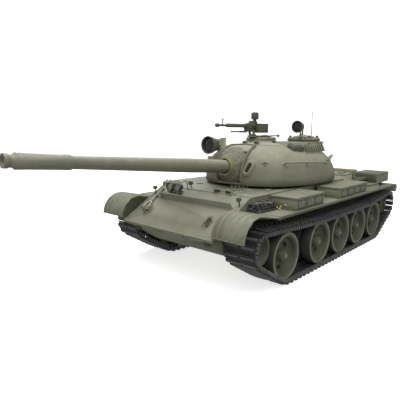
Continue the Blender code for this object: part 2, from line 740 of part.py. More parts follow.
def battery_pack():
    pack = part("battery_pack", block((-250, -800, 470), (250, 200, 700)), "battery")
    bevel = pack.modifiers.new("edges", "BEVEL")
    bevel.width = 40 * MODEL
    bevel.segments = 2
    bevel.limit_method = "ANGLE"
    return pack


def control_board():
    board = part("control_board", block((-320, -2300, 500), (320, -1700, 526)), "board")
    unite(board,
          tool(block((-200, -2200, 520), (60, -1980, 590))),
          tool(block((120, -1900, 520), (260, -1760, 600))))
    for x in (-290, 290):
        unite(board, tool(block((x - 20, -2020, FLOOR_Z + WALL + GAP), (x + 20, -1980, 505))))
    return board


def drive_gearbox():
    """Twin gearbox whose output shafts pass through the hull sides into the sprockets."""
    y, z = SPROCKET
    case = [(y - 360, 480), (y - 60, 480), (y + 40, 760), (y + 40, 880), (y - 360, 880)]
    box = part("drive_gearbox", prism(case, "X", -700, 700), "steel")
    unite(box, tool(cylinder(AXLE_R, -TRACK_X - 24, TRACK_X + 24, X, (0, y, z), 10)))
    for side in (-1, 1):
        unite(box, tool(cylinder(130, 350, 650, -Y, (side * 380, y, 650), 14)))
    return box


def power_switch():
    bm = block((-24, -1575, FLOOR_Z - 14), (24, -1500, FLOOR_Z + 24))
    return part("power_switch", bm, "gunmetal", (0, -1540, FLOOR_Z))


def main():
    for obj in list(bpy.data.objects):
        bpy.data.objects.remove(obj, do_unlink=True)
    hull_tub()
    hull_deck()
    engine_deck()
    fender(1)
    fender(-1)
    driver_hatch()
    headlight_unit()
    stowage()
    unditching_beam()
    tow_cable()
    running_gear()
    turret_shell()
    gun_mount()
    gun_barrel()
    canvas_clamp()
    mantlet_cover()
    gun_searchlight()
    commander_cupola()
    hatch("commander_hatch", CUPOLA, CUPOLA[1] + 238)
    cupola_searchlight()
    loader_ring()
    hatch("loader_hatch", LOADER, LOADER[1] + 238)
    mg_mount()
    machine_gun()
    antenna()
    battery_door()
    battery_pack()
    control_board()
    drive_gearbox()
    power_switch()


main()
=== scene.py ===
# Radio-controlled battle tank at 1:16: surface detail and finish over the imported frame.
# Sizes are in full-size millimetres and shrunk to the model; the gun points along -Y.
import json
import math
import random

import bpy
from mathutils import Matrix, Vector, noise
from mathutils.bvhtree import BVHTree

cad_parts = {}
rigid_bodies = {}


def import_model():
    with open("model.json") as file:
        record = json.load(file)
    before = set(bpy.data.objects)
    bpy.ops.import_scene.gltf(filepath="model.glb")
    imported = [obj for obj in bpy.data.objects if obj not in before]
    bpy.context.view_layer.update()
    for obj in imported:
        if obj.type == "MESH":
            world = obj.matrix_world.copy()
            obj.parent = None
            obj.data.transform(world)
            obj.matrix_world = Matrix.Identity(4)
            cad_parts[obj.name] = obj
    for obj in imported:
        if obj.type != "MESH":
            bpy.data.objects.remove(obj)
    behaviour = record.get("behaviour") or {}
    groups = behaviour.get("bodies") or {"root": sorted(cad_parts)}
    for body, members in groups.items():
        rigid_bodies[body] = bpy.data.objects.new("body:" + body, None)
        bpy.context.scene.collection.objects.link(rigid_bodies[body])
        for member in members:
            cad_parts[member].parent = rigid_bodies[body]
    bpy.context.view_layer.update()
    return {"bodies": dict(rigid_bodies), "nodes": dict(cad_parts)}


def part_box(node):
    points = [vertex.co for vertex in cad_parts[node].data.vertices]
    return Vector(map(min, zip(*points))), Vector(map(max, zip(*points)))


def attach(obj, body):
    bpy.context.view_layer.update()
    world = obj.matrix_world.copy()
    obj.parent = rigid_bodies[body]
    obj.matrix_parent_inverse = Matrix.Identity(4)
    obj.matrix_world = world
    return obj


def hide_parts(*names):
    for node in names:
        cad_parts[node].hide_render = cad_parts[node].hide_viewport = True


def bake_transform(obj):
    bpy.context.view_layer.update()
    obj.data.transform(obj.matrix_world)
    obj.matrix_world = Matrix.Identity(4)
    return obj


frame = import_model()
model = {"shrink": 1 / 16000, "middleY": -1120.0546, "gunLift": math.radians(4.44)}
trunnion = Vector((0, -1000, 1750))
print("frame loaded")

# Placing and shaping

def mm(length):
    return length * model["shrink"]

def at(x, y, z):
    return Vector((x, y - model["middleY"], z)) * model["shrink"]

def fullSize(place):                            # from the model back to full-size millimetres
    place = place / model["shrink"]
    return Vector((place.x, place.y + model["middleY"], place.z))

def alone(piece=None):
    bpy.ops.object.select_all(action="DESELECT")
    if piece:
        piece.select_set(True)
        bpy.context.view_layer.objects.active = piece

def linked(name, data):
    piece = bpy.data.objects.new(name, data)
    bpy.context.collection.objects.link(piece)
    return piece

def editAll(piece):
    alone(piece)
    bpy.ops.object.mode_set(mode="EDIT")
    bpy.ops.mesh.select_all(action="SELECT")

def leaveEdit():
    bpy.ops.object.mode_set(mode="OBJECT")

def drawOut(step):
    bpy.ops.mesh.extrude_region_move(TRANSFORM_OT_translate={"value": step})

def modified(piece, kind, **settings):
    alone(piece)
    bpy.ops.object.modifier_add(type=kind)
    modifier = piece.modifiers[-1]
    for setting, value in settings.items():
        setattr(modifier, setting, value)
    bpy.ops.object.modifier_apply(modifier=modifier.name)

def settle(piece):
    alone(piece)
    bpy.ops.object.transform_apply(location=True, rotation=True, scale=True)

def outwards(piece):
    editAll(piece)
    bpy.ops.mesh.remove_doubles(threshold=mm(0.5))
    bpy.ops.mesh.normals_make_consistent(inside=False)
    leaveEdit()

def soften(piece, edge, steps=2, angle=32):
    modified(piece, "BEVEL", width=mm(edge), segments=steps, limit_method="ANGLE", angle_limit=math.radians(angle))

def smooth(piece, angle=35):
    alone(piece)
    bpy.ops.object.shade_smooth_by_angle(angle=math.radians(angle))

def around(count, offset=0):                    # even steps round a circle, as cosine and sine
    for i in range(count):
        angle = math.tau * (i + offset) / count
        yield math.cos(angle), math.sin(angle)

def block(middle, size, turn=(0, 0, 0), edge=6, taper=None):
    alone()
    bpy.ops.mesh.primitive_cube_add(size=1)
    piece = bpy.context.object
    if taper:                                   # top face drawn in
        bpy.ops.object.mode_set(mode="EDIT")
        bpy.ops.mesh.select_all(action="DESELECT")
        leaveEdit()
        for face in piece.data.polygons:
            face.select = face.normal.z > 0.9
        bpy.ops.object.mode_set(mode="EDIT")
        bpy.ops.transform.resize(value=(taper[0], taper[1], 1), center_override=(0, 0, 0.5))
        leaveEdit()
    piece.scale = [mm(s) for s in size]
    piece.rotation_euler = turn
    piece.location = at(*middle)
    settle(piece)
    if edge:
        soften(piece, edge)
    return piece

def blocks(*rows):                              # each row: middle, size, edge
    return [block(middle, size, edge=edge) for middle, size, edge in rows]

def rod(start, end, radius, sides=14, edge=0):
    a, b = at(*start), at(*end)
    alone()
    bpy.ops.mesh.primitive_cylinder_add(vertices=sides, radius=mm(radius), depth=(b - a).length)
    piece = bpy.context.object
    piece.rotation_euler = (b - a).to_track_quat("Z", "Y").to_euler()
    piece.location = (a + b) / 2
    settle(piece)
    if edge:
        soften(piece, edge)
    return piece

def crossRod(x, y, z, half, radius, sides=14, edge=0):
    return rod((x - half, y, z), (x + half, y, z), radius, sides, edge)

def turned(profile, centre, along=(0, 0, 1), sides=32, hollow=False):
    alone()
    bpy.ops.mesh.primitive_circle_add(vertices=sides, radius=mm(profile[0][0]),
                                      fill_type="NOTHING" if hollow else "NGON")
    if hollow:                                  # the outline closes on itself, as a ring
        profile = profile + [profile[0]]
    piece = bpy.context.object
    editAll(piece)
    bpy.ops.transform.translate(value=(0, 0, mm(profile[0][1])))
    for before, after in zip(profile, profile[1:]):
        drawOut((0, 0, mm(after[1] - before[1])))
        grow = after[0] / before[0]
        bpy.ops.transform.resize(value=(grow, grow, 1), center_override=(0, 0, mm(after[1])))
    leaveEdit()
    piece.rotation_euler = Vector(along).to_track_quat("Z", "Y").to_euler()
    piece.location = at(*centre)
    settle(piece)
    outwards(piece)
    return piece

def slab(corners, step):                        # a flat outline drawn out into a solid
    mesh = bpy.data.meshes.new("slab")
    mesh.from_pydata(corners, [], [list(range(len(corners)))])
    piece = linked("slab", mesh)
    editAll(piece)
    drawOut(step)
    leaveEdit()
    outwards(piece)
    return piece

def plate(outline, axis, low, high, edge=0):
    order = {"X": (2, 0, 1), "Y": (0, 2, 1)}[axis]
    step = {"X": (mm(high - low), 0, 0), "Y": (0, mm(high - low), 0)}[axis]
    piece = slab([at(*((a, b, low)[k] for k in order)) for a, b in outline], step)
    if edge:
        soften(piece, edge)
    return piece

def pipe(points, radius, sides=2, closed=False):
    curve = bpy.data.curves.new("pipe", "CURVE")
    curve.dimensions = "3D"
    curve.bevel_depth = mm(radius)
    curve.bevel_resolution = sides
    curve.use_fill_caps = True
    line = curve.splines.new("POLY")
    line.points.add(len(points) - 1)
    for knot, place in zip(line.points, points):
        knot.co = (*at(*place), 1)
    line.use_cyclic_u = closed
    alone(linked("pipe", curve))
    bpy.ops.object.convert(target="MESH")
    piece = bpy.context.object
    outwards(piece)
    return piece

def staple(x, y, z, half, rise, radius=8):      # a small lifting handle
    return pipe([(x - half, y, z), (x - half, y, z + rise), (x + half, y, z + rise), (x + half, y, z)], radius)

def copyOf(piece, move=None):
    twin = linked(piece.name, piece.data.copy())
    if move is not None:
        twin.data.transform(move)
    return twin

def acrossX(piece):
    piece.data.transform(Matrix.Scale(-1, 4, (1, 0, 0)))
    piece.data.flip_normals()
    return piece

def coat(piece, finish):
    piece.data.materials.clear()
    piece.data.materials.append(paint[finish])
    return piece

def assembled(pieces):
    alone()
    for piece in pieces:
        piece.select_set(True)
    bpy.context.view_layer.objects.active = pieces[0]
    if len(pieces) > 1:
        bpy.ops.object.join()
    return bpy.context.object

def joined(name, pieces, finish=None, body="hull", standsFor=(), angle=35):
    whole = assembled(pieces)
    whole.name = name
    whole.data.name = name
    if finish:
        coat(whole, finish)
    smooth(whole, angle)
    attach(whole, body)
    if standsFor:
        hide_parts(*standsFor)
    return whole

def dot(place, along=(0, 0, 1), radius=14, high=10, sides=6):
    a = Vector(place)
    return rod(a, a + Vector(along).normalized() * high, radius, sides)

def boltRing(x, y, z, reach, count, radius, high, offset=0):
    return [dot((x + reach * c, y + reach * s, z), (0, 0, 1), radius, high) for c, s in around(count, offset)]

def subtract(piece, cutters):
    for cutter in cutters:
        modified(piece, "BOOLEAN", operation="DIFFERENCE", solver="EXACT", object=cutter)
        bpy.data.objects.remove(cutter, do_unlink=True)
    return piece

# Finishes

def preset(node, values):
    for socket, value in values.items():
        node.inputs[socket].default_value = value

def finishOf(name, colour, rough=0.55, metal=0.0, patch=0.22, grain=0.25, grainSize=1400, dustAndTopLight=0.0, edge=0.0,
             sheen=0.0, coatGloss=0.0):
    made = bpy.data.materials.new(name)
    made.use_nodes = True
    nodes, links = made.node_tree.nodes, made.node_tree.links
    shader = nodes["Principled BSDF"]
    preset(shader, {"Metallic": metal, "Coat Weight": coatGloss, "Sheen Weight": sheen})
    place = nodes.new("ShaderNodeTexCoord").outputs["Object"]

    def cloud(size, detail):
        field = nodes.new("ShaderNodeTexNoise")
        preset(field, {"Scale": size, "Detail": detail})
        links.new(place, field.inputs["Vector"])
        return field.outputs["Fac"]

    def blendOf(share, first, second):
        mix = nodes.new("ShaderNodeMix")
        mix.data_type = "RGBA"
        for name, value in (("Factor", share), ("A", first), ("B", second)):
            socket = mix.inputs[name]
            if hasattr(value, "is_output"):
                links.new(value, socket)
            elif socket.type == "RGBA":
                socket.default_value = (*value, 1)
            else:
                socket.default_value = value
        return mix.outputs["Result"]

    def spread(value, low, high, start=0.3, stop=0.7):
        ramp = nodes.new("ShaderNodeMapRange")
        preset(ramp, {"From Min": start, "From Max": stop, "To Min": low, "To Max": high})
        links.new(value, ramp.inputs["Value"])
        return ramp.outputs["Result"]

    broad = cloud(70, 5)
    fine = cloud(grainSize, 3)
    dark = [c * (1 - patch) for c in colour]
    light = [min(1, c * (1 + patch)) for c in colour]
    shade = blendOf(spread(broad, 0, 1), dark, light)
    shade = blendOf(spread(fine, 0, 0.35), shade, [c * 0.72 for c in colour])
    if dustAndTopLight:                                    # settles on what faces up: dust, and painted top light that lightens up-facing surfaces
        facing = nodes.new("ShaderNodeSeparateXYZ")
        links.new(nodes.new("ShaderNodeNewGeometry").outputs["Normal"], facing.inputs["Vector"])
        lying = spread(facing.outputs["Z"], 0, dustAndTopLight, 0.2, 1.0)
        speck = nodes.new("ShaderNodeMath")
        speck.operation = "MULTIPLY"
        links.new(lying, speck.inputs[0])
        links.new(spread(cloud(160, 6), 0.3, 1), speck.inputs[1])
        shade = blendOf(speck.outputs[0], shade, (0.42, 0.40, 0.31))
    if edge:                                    # worn lighter where the surface turns sharply
        rounded = nodes.new("ShaderNodeBevel")
        rounded.samples = 4
        preset(rounded, {"Radius": 0.0006})
        compare = nodes.new("ShaderNodeVectorMath")
        compare.operation = "DOT_PRODUCT"
        links.new(rounded.outputs["Normal"], compare.inputs[0])
        links.new(nodes.new("ShaderNodeNewGeometry").outputs["Normal"], compare.inputs[1])
        worn = spread(compare.outputs["Value"], edge, 0, 0.75, 0.98)
        shade = blendOf(worn, shade, [min(1, c * 1.7 + 0.03) for c in colour])
    links.new(shade, shader.inputs["Base Color"])
    links.new(spread(broad, rough - 0.09, rough + 0.09), shader.inputs["Roughness"])
    bump = nodes.new("ShaderNodeBump")
    preset(bump, {"Strength": grain, "Distance": 0.0002})
    links.new(fine, bump.inputs["Height"])
    links.new(bump.outputs["Normal"], shader.inputs["Normal"])
    return made

def wovenCloth(name, colour):
    made = finishOf(name, colour, rough=0.85, patch=0.28, grain=0.1, dustAndTopLight=0.12, sheen=0.15)
    nodes, links = made.node_tree.nodes, made.node_tree.links
    shader = nodes["Principled BSDF"]
    place = nodes.new("ShaderNodeTexCoord")
    both = nodes.new("ShaderNodeMath")
    both.operation = "ADD"
    for i, direction in enumerate("XZ"):        # warp and weft
        wave = nodes.new("ShaderNodeTexWave")
        wave.bands_direction = direction
        preset(wave, {"Scale": 700, "Distortion": 1.5})
        links.new(place.outputs["Object"], wave.inputs["Vector"])
        links.new(wave.outputs["Fac"], both.inputs[i])
    weave = nodes.new("ShaderNodeBump")
    preset(weave, {"Strength": 0.5, "Distance": 0.00015})
    links.new(both.outputs[0], weave.inputs["Height"])
    links.new(shader.inputs["Normal"].links[0].from_socket, weave.inputs["Normal"])
    links.new(weave.outputs["Normal"], shader.inputs["Normal"])
    return made

olive = (0.200, 0.205, 0.142)
# dustAndTopLight lightens up-facing surfaces: part dust, part painted top light, set strongest on turret and barrel
paint = {
    "hull": finishOf("olivePaint", olive, 0.58, patch=0.14, dustAndTopLight=0.08, edge=0.35),
    "cast": finishOf("castOlive", olive, 0.60, patch=0.16, grain=0.45, grainSize=650, dustAndTopLight=0.5, edge=0.25),
    # wheel, tyre and rim are one plastic green: disc and tyre darkened as painted shade, rim lightened as painted
    # highlight
    "wheel": finishOf("wheelOlive", (0.085, 0.088, 0.058), 0.55, patch=0.2, edge=0.5),
    "tyre": finishOf("tyreRubber", (0.045, 0.046, 0.034), 0.75, patch=0.25, grain=0.4),
    "rim": finishOf("rimOlive", (0.20, 0.203, 0.15), 0.6, patch=0.2, grain=0.3),
    # rib: the olive lightened as a painted highlight on rails and small fittings, with edge wear on top
    "rib": finishOf("wornOlive", (0.25, 0.252, 0.18), 0.55, patch=0.14, dustAndTopLight=0.2, edge=0.4),
    "bead": finishOf("canvasBead", (0.165, 0.158, 0.10), 0.8, patch=0.25, grain=0.4),
    "trackWorn": finishOf("trackWornSteel", (0.17, 0.168, 0.16), 0.45, metal=0.3, patch=0.3, grain=0.4, edge=0.6),
    "track": finishOf("trackSteel", (0.055, 0.055, 0.068), 0.42, metal=0.5, patch=0.35, grain=0.5, dustAndTopLight=0.16,
                      edge=0.75),
    "dark": finishOf("darkOlive", (0.10, 0.104, 0.07), 0.6, patch=0.2, dustAndTopLight=0.15, edge=0.4),
    "shade": finishOf("deepShade", (0.02, 0.021, 0.017), 0.8, patch=0.2),
    "gun": finishOf("gunFinish", (0.105, 0.108, 0.08), 0.48, metal=0.25, patch=0.2, grain=0.3, dustAndTopLight=0.12, edge=0.6),
    "barrel": finishOf("barrelOlive", (0.215, 0.217, 0.155), 0.5, patch=0.12, grain=0.2, dustAndTopLight=0.5, edge=0.3),
    "brass": finishOf("brassFitting", (0.55, 0.50, 0.20), 0.38, metal=0.7, patch=0.15, edge=0.3),
    "mesh": finishOf("yellowMesh", (0.50, 0.46, 0.16), 0.5, metal=0.4, patch=0.2),
    "steel": finishOf("cableSteel", (0.40, 0.40, 0.32), 0.42, metal=0.35, patch=0.2, grain=0.6, grainSize=2600),
    "tools": finishOf("toolMetal", (0.12, 0.115, 0.12), 0.35, metal=0.7, patch=0.4, grain=0.5, edge=0.5),
    "beam": finishOf("paintedBeam", (0.23, 0.23, 0.17), 0.65, patch=0.25, grain=0.5, dustAndTopLight=0.3),
    "lens": finishOf("lampLens", (0.012, 0.011, 0.015), 0.16, patch=0.3, grain=0.03, coatGloss=0.6),
    "clearLens": finishOf("headlampLens", (0.30, 0.31, 0.30), 0.15, patch=0.2, grain=0.05, coatGloss=1.0),
    "battery": finishOf("batterySleeve", (0.03, 0.08, 0.22), 0.35, patch=0.1),
    "board": finishOf("circuitBoard", (0.02, 0.14, 0.05), 0.45, patch=0.2),
    "cloth": wovenCloth("canvasCloth", (0.165, 0.165, 0.115)),
}
finishFor = {
    "hull": "hull_tub hull_deck engine_deck fender_left fender_right driver_hatch stowage_box_front "
            "stowage_box_middle fuel_tank_front fuel_tank_rear rear_box_left rear_box_right",
    "cast": "turret_shell commander_cupola commander_hatch loader_hatch loader_ring",
    "dark": "battery_door power_switch headlight_unit swing_arm_*",
    "gun": "mg_mount machine_gun gun_mount gun_searchlight cupola_searchlight antenna",
    "barrel": "gun_barrel", "brass": "canvas_clamp", "steel": "tow_cable drive_gearbox", "beam": "unditching_beam",
    "battery": "battery_pack", "board": "control_board", "cloth": "mantlet_cover",
    "track": "track_*", "wheel": "road_wheel_* idler_* sprocket_*"}
for finish, names in finishFor.items():
    for word in names.split():
        for node, piece in frame["nodes"].items():
            if node == word or (word.endswith("*") and node.startswith(word[:-1])):
                coat(piece, finish)
print("finishes made")

# Camera, light and floor

studio = {"eye": (0.293369, -0.389866, 0.153019), "target": (-0.040244, -0.026847, 0.067419),
          "roll": math.radians(0.24), "lens": 35.98, "floorGlow": 0.7, "domeGlow": 1.3, "room": 0.38,
          "lamps": {"overhead": ((0.1, -0.1, 1.3), 1.6, 19, (0, 0, 0)),     # place, size, power, aim
                    "frontLeft": ((0.9, -0.9, 0.8), 0.9, 4.4, (0, 0, 0.08)),
                    "rearRight": ((-0.9, 0.7, 0.9), 0.9, 5, (0, 0, 0.08))}}

def setCamera():
    eye, target = Vector(studio["eye"]), Vector(studio["target"])
    back = (eye - target).normalized()
    right = Vector((0, 0, 1)).cross(back).normalized()
    up = back.cross(right)
    right, up = (right * math.cos(studio["roll"]) + up * math.sin(studio["roll"]),
                 up * math.cos(studio["roll"]) - right * math.sin(studio["roll"]))
    data = bpy.data.cameras.new("camera")
    data.lens = studio["lens"]
    data.sensor_width = 36
    data.clip_start = 0.01
    camera = linked("camera", data)
    camera.matrix_world = Matrix((right, up, back)).transposed().to_4x4()
    camera.location = eye
    bpy.context.scene.camera = camera

def setStudio():
    alone()
    bpy.ops.mesh.primitive_plane_add(size=12, location=(0, 0, -0.0002))
    floor = bpy.context.object
    floor.name = "studioFloor"
    white = bpy.data.materials.new("paperFloor")
    white.use_nodes = True
    preset(white.node_tree.nodes["Principled BSDF"],
           {"Base Color": (0.9, 0.9, 0.9, 1), "Roughness": 0.9, "Specular IOR Level": 0.0,
            "Emission Color": (1, 1, 1, 1), "Emission Strength": studio["floorGlow"]})
    floor.data.materials.append(white)
    alone()
    bpy.ops.mesh.primitive_uv_sphere_add(segments=48, ring_count=24, radius=5.9)
    dome = bpy.context.object
    dome.name = "studioDome"
    paper = white.copy()
    preset(paper.node_tree.nodes["Principled BSDF"],
           {"Base Color": (0, 0, 0, 1), "Emission Strength": studio["domeGlow"]})
    dome.data.materials.append(paper)
    for sheet in (floor, dome):                 # pale surroundings that throw little light on the tank
        sheet.visible_diffuse = False
        sheet.visible_glossy = False
    dome.visible_shadow = False

    world = bpy.data.worlds.new("room")
    world.use_nodes = True
    preset(world.node_tree.nodes["Background"], {"Color": (1, 1, 1, 1), "Strength": studio["room"]})
    bpy.context.scene.world = world
    bpy.context.scene.view_settings.view_transform = "Standard"
    for name, (place, size, power, aim) in studio["lamps"].items():
        light = bpy.data.lights.new(name, "AREA")
        light.size = size
        light.energy = power
        lamp = linked(name, light)
        lamp.location = place
        lamp.rotation_euler = (Vector(place) - Vector(aim)).to_track_quat("Z", "Y").to_euler()

setCamera()
setStudio()
print("studio set")

# Tracks

belt = {"links": 90, "middle": 1320, "half": 290, "plate": 30, "horn": 62, "tooth": 60}
gear = {"idler": (-2562, 700), "sprocket": (2808, 720), "wheelZ": 460, "wheelRadius": 405,
        "wheelY": (-1862, -685, 202, 1090, 1978)}

def tangent(first, firstRadius, second, secondRadius):
    a, b = Vector(first), Vector(second)
    reach = b - a
    spread = math.asin((firstRadius - secondRadius) / reach.length)
    angle = math.atan2(reach.y, reach.x) - math.pi / 2 + spread
    normal = Vector((math.cos(angle), math.sin(angle)))
    return a + normal * firstRadius, b + normal * secondRadius

def beltJoints():
    low = gear["wheelZ"] + 6
    rest = gear["wheelZ"] + gear["wheelRadius"] + 7
    stops = [(gear["idler"], 266), ((gear["wheelY"][0], low), 416), ((gear["wheelY"][-1], low), 416),
             (gear["sprocket"], 275), ((1500, rest), 0), ((-700, rest), 0)]
    path = []
    for i, (centre, radius) in enumerate(stops):
        before, beforeRadius = stops[i - 1]
        after, afterRadius = stops[(i + 1) % len(stops)]
        if radius == 0:
            path.append(Vector(centre))
            continue
        arrive = tangent(before, beforeRadius, centre, radius)[1]
        leave = tangent(centre, radius, after, afterRadius)[0]
        start = math.atan2(arrive.y - centre[1], arrive.x - centre[0])
        sweep = (math.atan2(leave.y - centre[1], leave.x - centre[0]) - start) % math.tau
        for k in range(25):
            angle = start + sweep * k / 24
            path.append(Vector(centre) + Vector((math.cos(angle), math.sin(angle))) * radius)
    ring = path + [path[0]]
    lengths = [(b - a).length for a, b in zip(ring, ring[1:])]
    pitch = sum(lengths) / belt["links"]
    joints, along, target = [], 0.0, 0.0
    for a, b, length in zip(ring, ring[1:], lengths):
        while target < along + length and len(joints) < belt["links"]:
            joints.append(a.lerp(b, (target - along) / length))
            target += pitch
        along += length
    return joints, pitch

def trackLink(pitch):
    y = model["middleY"]                        # so that at() leaves it about the origin
    half, thick = belt["half"], belt["plate"]
    bits = [coat(block((0, y, thick / 2), (half * 2 - 24, pitch * 0.72, thick), edge=0), "track")]
    for side in (-1, 1):
        bits.append(coat(block((side * half * 0.52, y, thick + 10), (half * 0.80, pitch * 0.26, 20),
                               edge=0, taper=(0.94, 0.6)), "trackWorn"))
        for u in (-0.25, 0.25):
            bits.append(coat(block((side * (half - 22), y + u * pitch, -belt["tooth"] / 2 + 8),
                                   (44, pitch * 0.24, belt["tooth"]), (math.pi, 0, 0), 0, (0.8, 0.45)), "trackWorn"))
        bits.append(coat(block((side * (half - 14), y, thick / 2 + 4), (28, pitch * 0.46, thick + 18), edge=0), "track"))
    bits.append(coat(block((0, y, -belt["horn"] / 2 + 4), (34, pitch * 0.5, belt["horn"]),
                           (math.pi, 0, 0), 0, (0.5, 0.4)), "track"))
    bits.append(coat(crossRod(0, y + pitch * 0.5, thick * 0.5, half - 2, 13, 6), "track"))
    return assembled(bits)

def trackBelt(side, word):
    joints, pitch = beltJoints()
    first = trackLink(pitch)
    middle = sum(joints, Vector((0, 0))) / len(joints)
    links = []
    for i, here in enumerate(joints):
        after = joints[(i + 1) % len(joints)]
        step = (after - here).normalized()
        normal = Vector((step.y, -step.x))
        if normal.dot((here + after) / 2 - middle) < 0:
            normal = -normal
        along = Vector((0, step.x, step.y))
        out = Vector((0, normal.x, normal.y))
        turn = Matrix((along.cross(out), along, out)).transposed().to_4x4()
        centre = (here + after) / 2
        links.append(copyOf(first, Matrix.Translation(at(side * belt["middle"], centre.x, centre.y)) @ turn))
    bpy.data.objects.remove(first, do_unlink=True)
    joined("trackBelt_" + word, links, None, "hull", ["track_" + word], 25)

trackBelt(1, "left")
trackBelt(-1, "right")
print("tracks made")

# Wheels

wheel = {"holes": 5, "holeRadius": 46, "holeRing": 205, "bolts": 10}

def spokedWheel():
    y = model["middleY"]
    disc = turned([(60, 196), (86, 186), (104, 150), (112, 96), (150, 84), (255, 100), (300, 122), (318, 200),
                   (342, 214), (352, 214), (352, 52), (330, 34), (330, -34), (352, -52), (352, -210), (320, -205),
                   (300, -120), (120, -120), (60, -120)], (0, y, 0), (1, 0, 0), 48)
    cutters = []
    for i in range(wheel["holes"]):
        angle = math.tau * (i + 0.25) / wheel["holes"]
        middle = Vector((0, math.cos(angle), math.sin(angle))) * wheel["holeRing"]
        hole = rod((20, y + middle.y, middle.z), (170, y + middle.y, middle.z), wheel["holeRadius"], 16)
        stretch = Matrix.Rotation(angle, 4, "X") @ Matrix.Diagonal((1, 0.8, 1.45, 1)) @ Matrix.Rotation(-angle, 4, "X")
        centre = Matrix.Translation(middle * model["shrink"])
        hole.data.transform(centre @ stretch @ centre.inverted())
        cutters.append(hole)
    extras = [coat(subtract(disc, cutters), "wheel")]
    for c, s in around(wheel["bolts"]):
        extras.append(coat(dot((168, y + 92 * c, 92 * s), (1, 0, 0), 9, 12), "wheel"))
    extras.append(coat(turned([(34, 190), (40, 206), (32, 216), (10, 219)], (0, y, 0), (1, 0, 0), 20), "rim"))
    for low, high in ((44, 222), (-222, -44)):
        tyre = turned([(353, low + 4), (366, low), (398, low + 3), (405, low + 14), (405, high - 16), (397, high - 3),
                       (368, high), (353, high - 8)], (0, y, 0), (1, 0, 0), 56, True)
        extras.append(coat(tyre, "tyre"))
    # the bead ring takes the lighter rim finish: painted highlight on the tyre's edge
    bead = turned([(345, 208), (350, 222), (372, 225), (392, 222), (396, 214), (345, 204)],
                  (0, y, 0), (1, 0, 0), 56, True)
    return assembled(extras + [coat(bead, "rim")])

def idlerWheel():
    y = model["middleY"]
    disc = turned([(44, 140), (66, 132), (74, 84), (110, 66), (180, 84), (196, 150), (204, 186), (242, 188), (250, 180),
                   (250, 44), (190, 36), (190, -36), (250, -44), (250, -186), (200, -186), (190, -90), (60, -90)],
                  (0, y, 0), (1, 0, 0), 40)
    cutters = []
    for c, s in around(6):
        a, b = y + 132 * c, 132 * s
        cutters.append(rod((10, a, b), (140, a, b), 27, 12))
    # the idler disc takes the dark olive: painted shade on the green of the running gear
    bits = [coat(subtract(disc, cutters), "dark")]
    for c, s in around(6):
        bits.append(coat(dot((134, y + 52 * c, 52 * s), (1, 0, 0), 7, 10), "wheel"))
    return assembled(bits)

def placed(first, side, turn, place, name, node):
    one = copyOf(first, turn)
    if side < 0:
        acrossX(one)
    one.data.transform(Matrix.Translation(at(side * belt["middle"], *place)))
    joined(name, [one], None, node, [node])

def setWheels():
    first, front = spokedWheel(), idlerWheel()
    for side, word in ((1, "left"), (-1, "right")):
        for i, y in enumerate(gear["wheelY"], 1):
            spin = Matrix.Rotation(0.5 * i, 4, "X")
            placed(first, side, spin, (y, gear["wheelZ"]), f"wheel_{word}_{i}", f"road_wheel_{word}_{i}")
        placed(front, side, None, gear["idler"], "frontWheel_" + word, "idler_" + word)
        x, (y, z) = side * belt["middle"], gear["sprocket"]
        bolts = [dot((x + side * 146, y + 150 * c, z + 150 * s), (side, 0, 0), 11, 12) for c, s in around(10)]
        bolts.append(turned([(60, 168), (72, 180), (60, 192), (20, 196)], (x, y, z), (side, 0, 0), 20))
        joined("sprocketBolts_" + word, bolts, "wheel", "sprocket_" + word)
    bpy.data.objects.remove(first, do_unlink=True)
    bpy.data.objects.remove(front, do_unlink=True)

setWheels()
print("wheels made")

# Hull front

glacis = {"slope": math.radians(30), "edgeY": -3150, "edgeZ": 850}
lying = (glacis["slope"], 0, 0)
glacisUp = Vector((0, -math.sin(glacis["slope"]), math.cos(glacis["slope"])))

def glacisZ(y):
    return glacis["edgeZ"] + math.tan(glacis["slope"]) * (y - glacis["edgeY"])

def treeOf(node):
    mesh = frame["nodes"][node].data
    return BVHTree.FromPolygons([v.co for v in mesh.vertices], [p.vertices for p in mesh.polygons])

tubTree = treeOf("hull_tub")

def noseY(x, z):
    hit = tubTree.ray_cast(at(x, -4200, z), Vector((0, 1, 0)))[0]
    return hit.y / model["shrink"] + model["middleY"]

def ribbedGuard(side, word):
    centre, radius = Vector((0, -2790, 900)), 372

    def bow(x, lift, start=78, stop=172):
        points = [(x, -2330, 1183 + lift - 4)]
        for i in range(15):
            angle = math.radians(start + (stop - start) * i / 14)
            points.append((x, centre.y + (radius + lift) * math.cos(angle),
                           centre.z + (radius + lift) * math.sin(angle)))
        return points
    bits = [pipe(bow(side * x, -13), 27, 3) for x in (1155, 1272, 1389, 1506)]
    bits.append(pipe(bow(side * 1622, -7, stop=175), 12))
    bits.append(pipe(bow(side * 1066, -7, stop=175), 10))
    lip = bow(0, -8, stop=175)[-1]
    bits.append(pipe([(side * 1060, lip[1], lip[2]), (side * 1624, lip[1], lip[2])], 12))
    bits.append(pipe([(side * 1062, -3085, 900), (side * 1061, -2900, 1010), (side * 1061, -2620, 1175)], 9))
    bits += blocks(*(((side * 1345, y, 1186), (560, 22, 12), 3) for y in (-2250, -1735, -725, -85, 1295, 2085, 2930)))
    bits += [dot((side * 1634, -2280 + i * 238, 1162), (-side, 0, 0), 9, 7) for i in range(22)]
    bits.append(block((side * 1626, 370, 1187), (14, 5250, 8), edge=2))
    joined("guardRibs_" + word, bits, "hull")

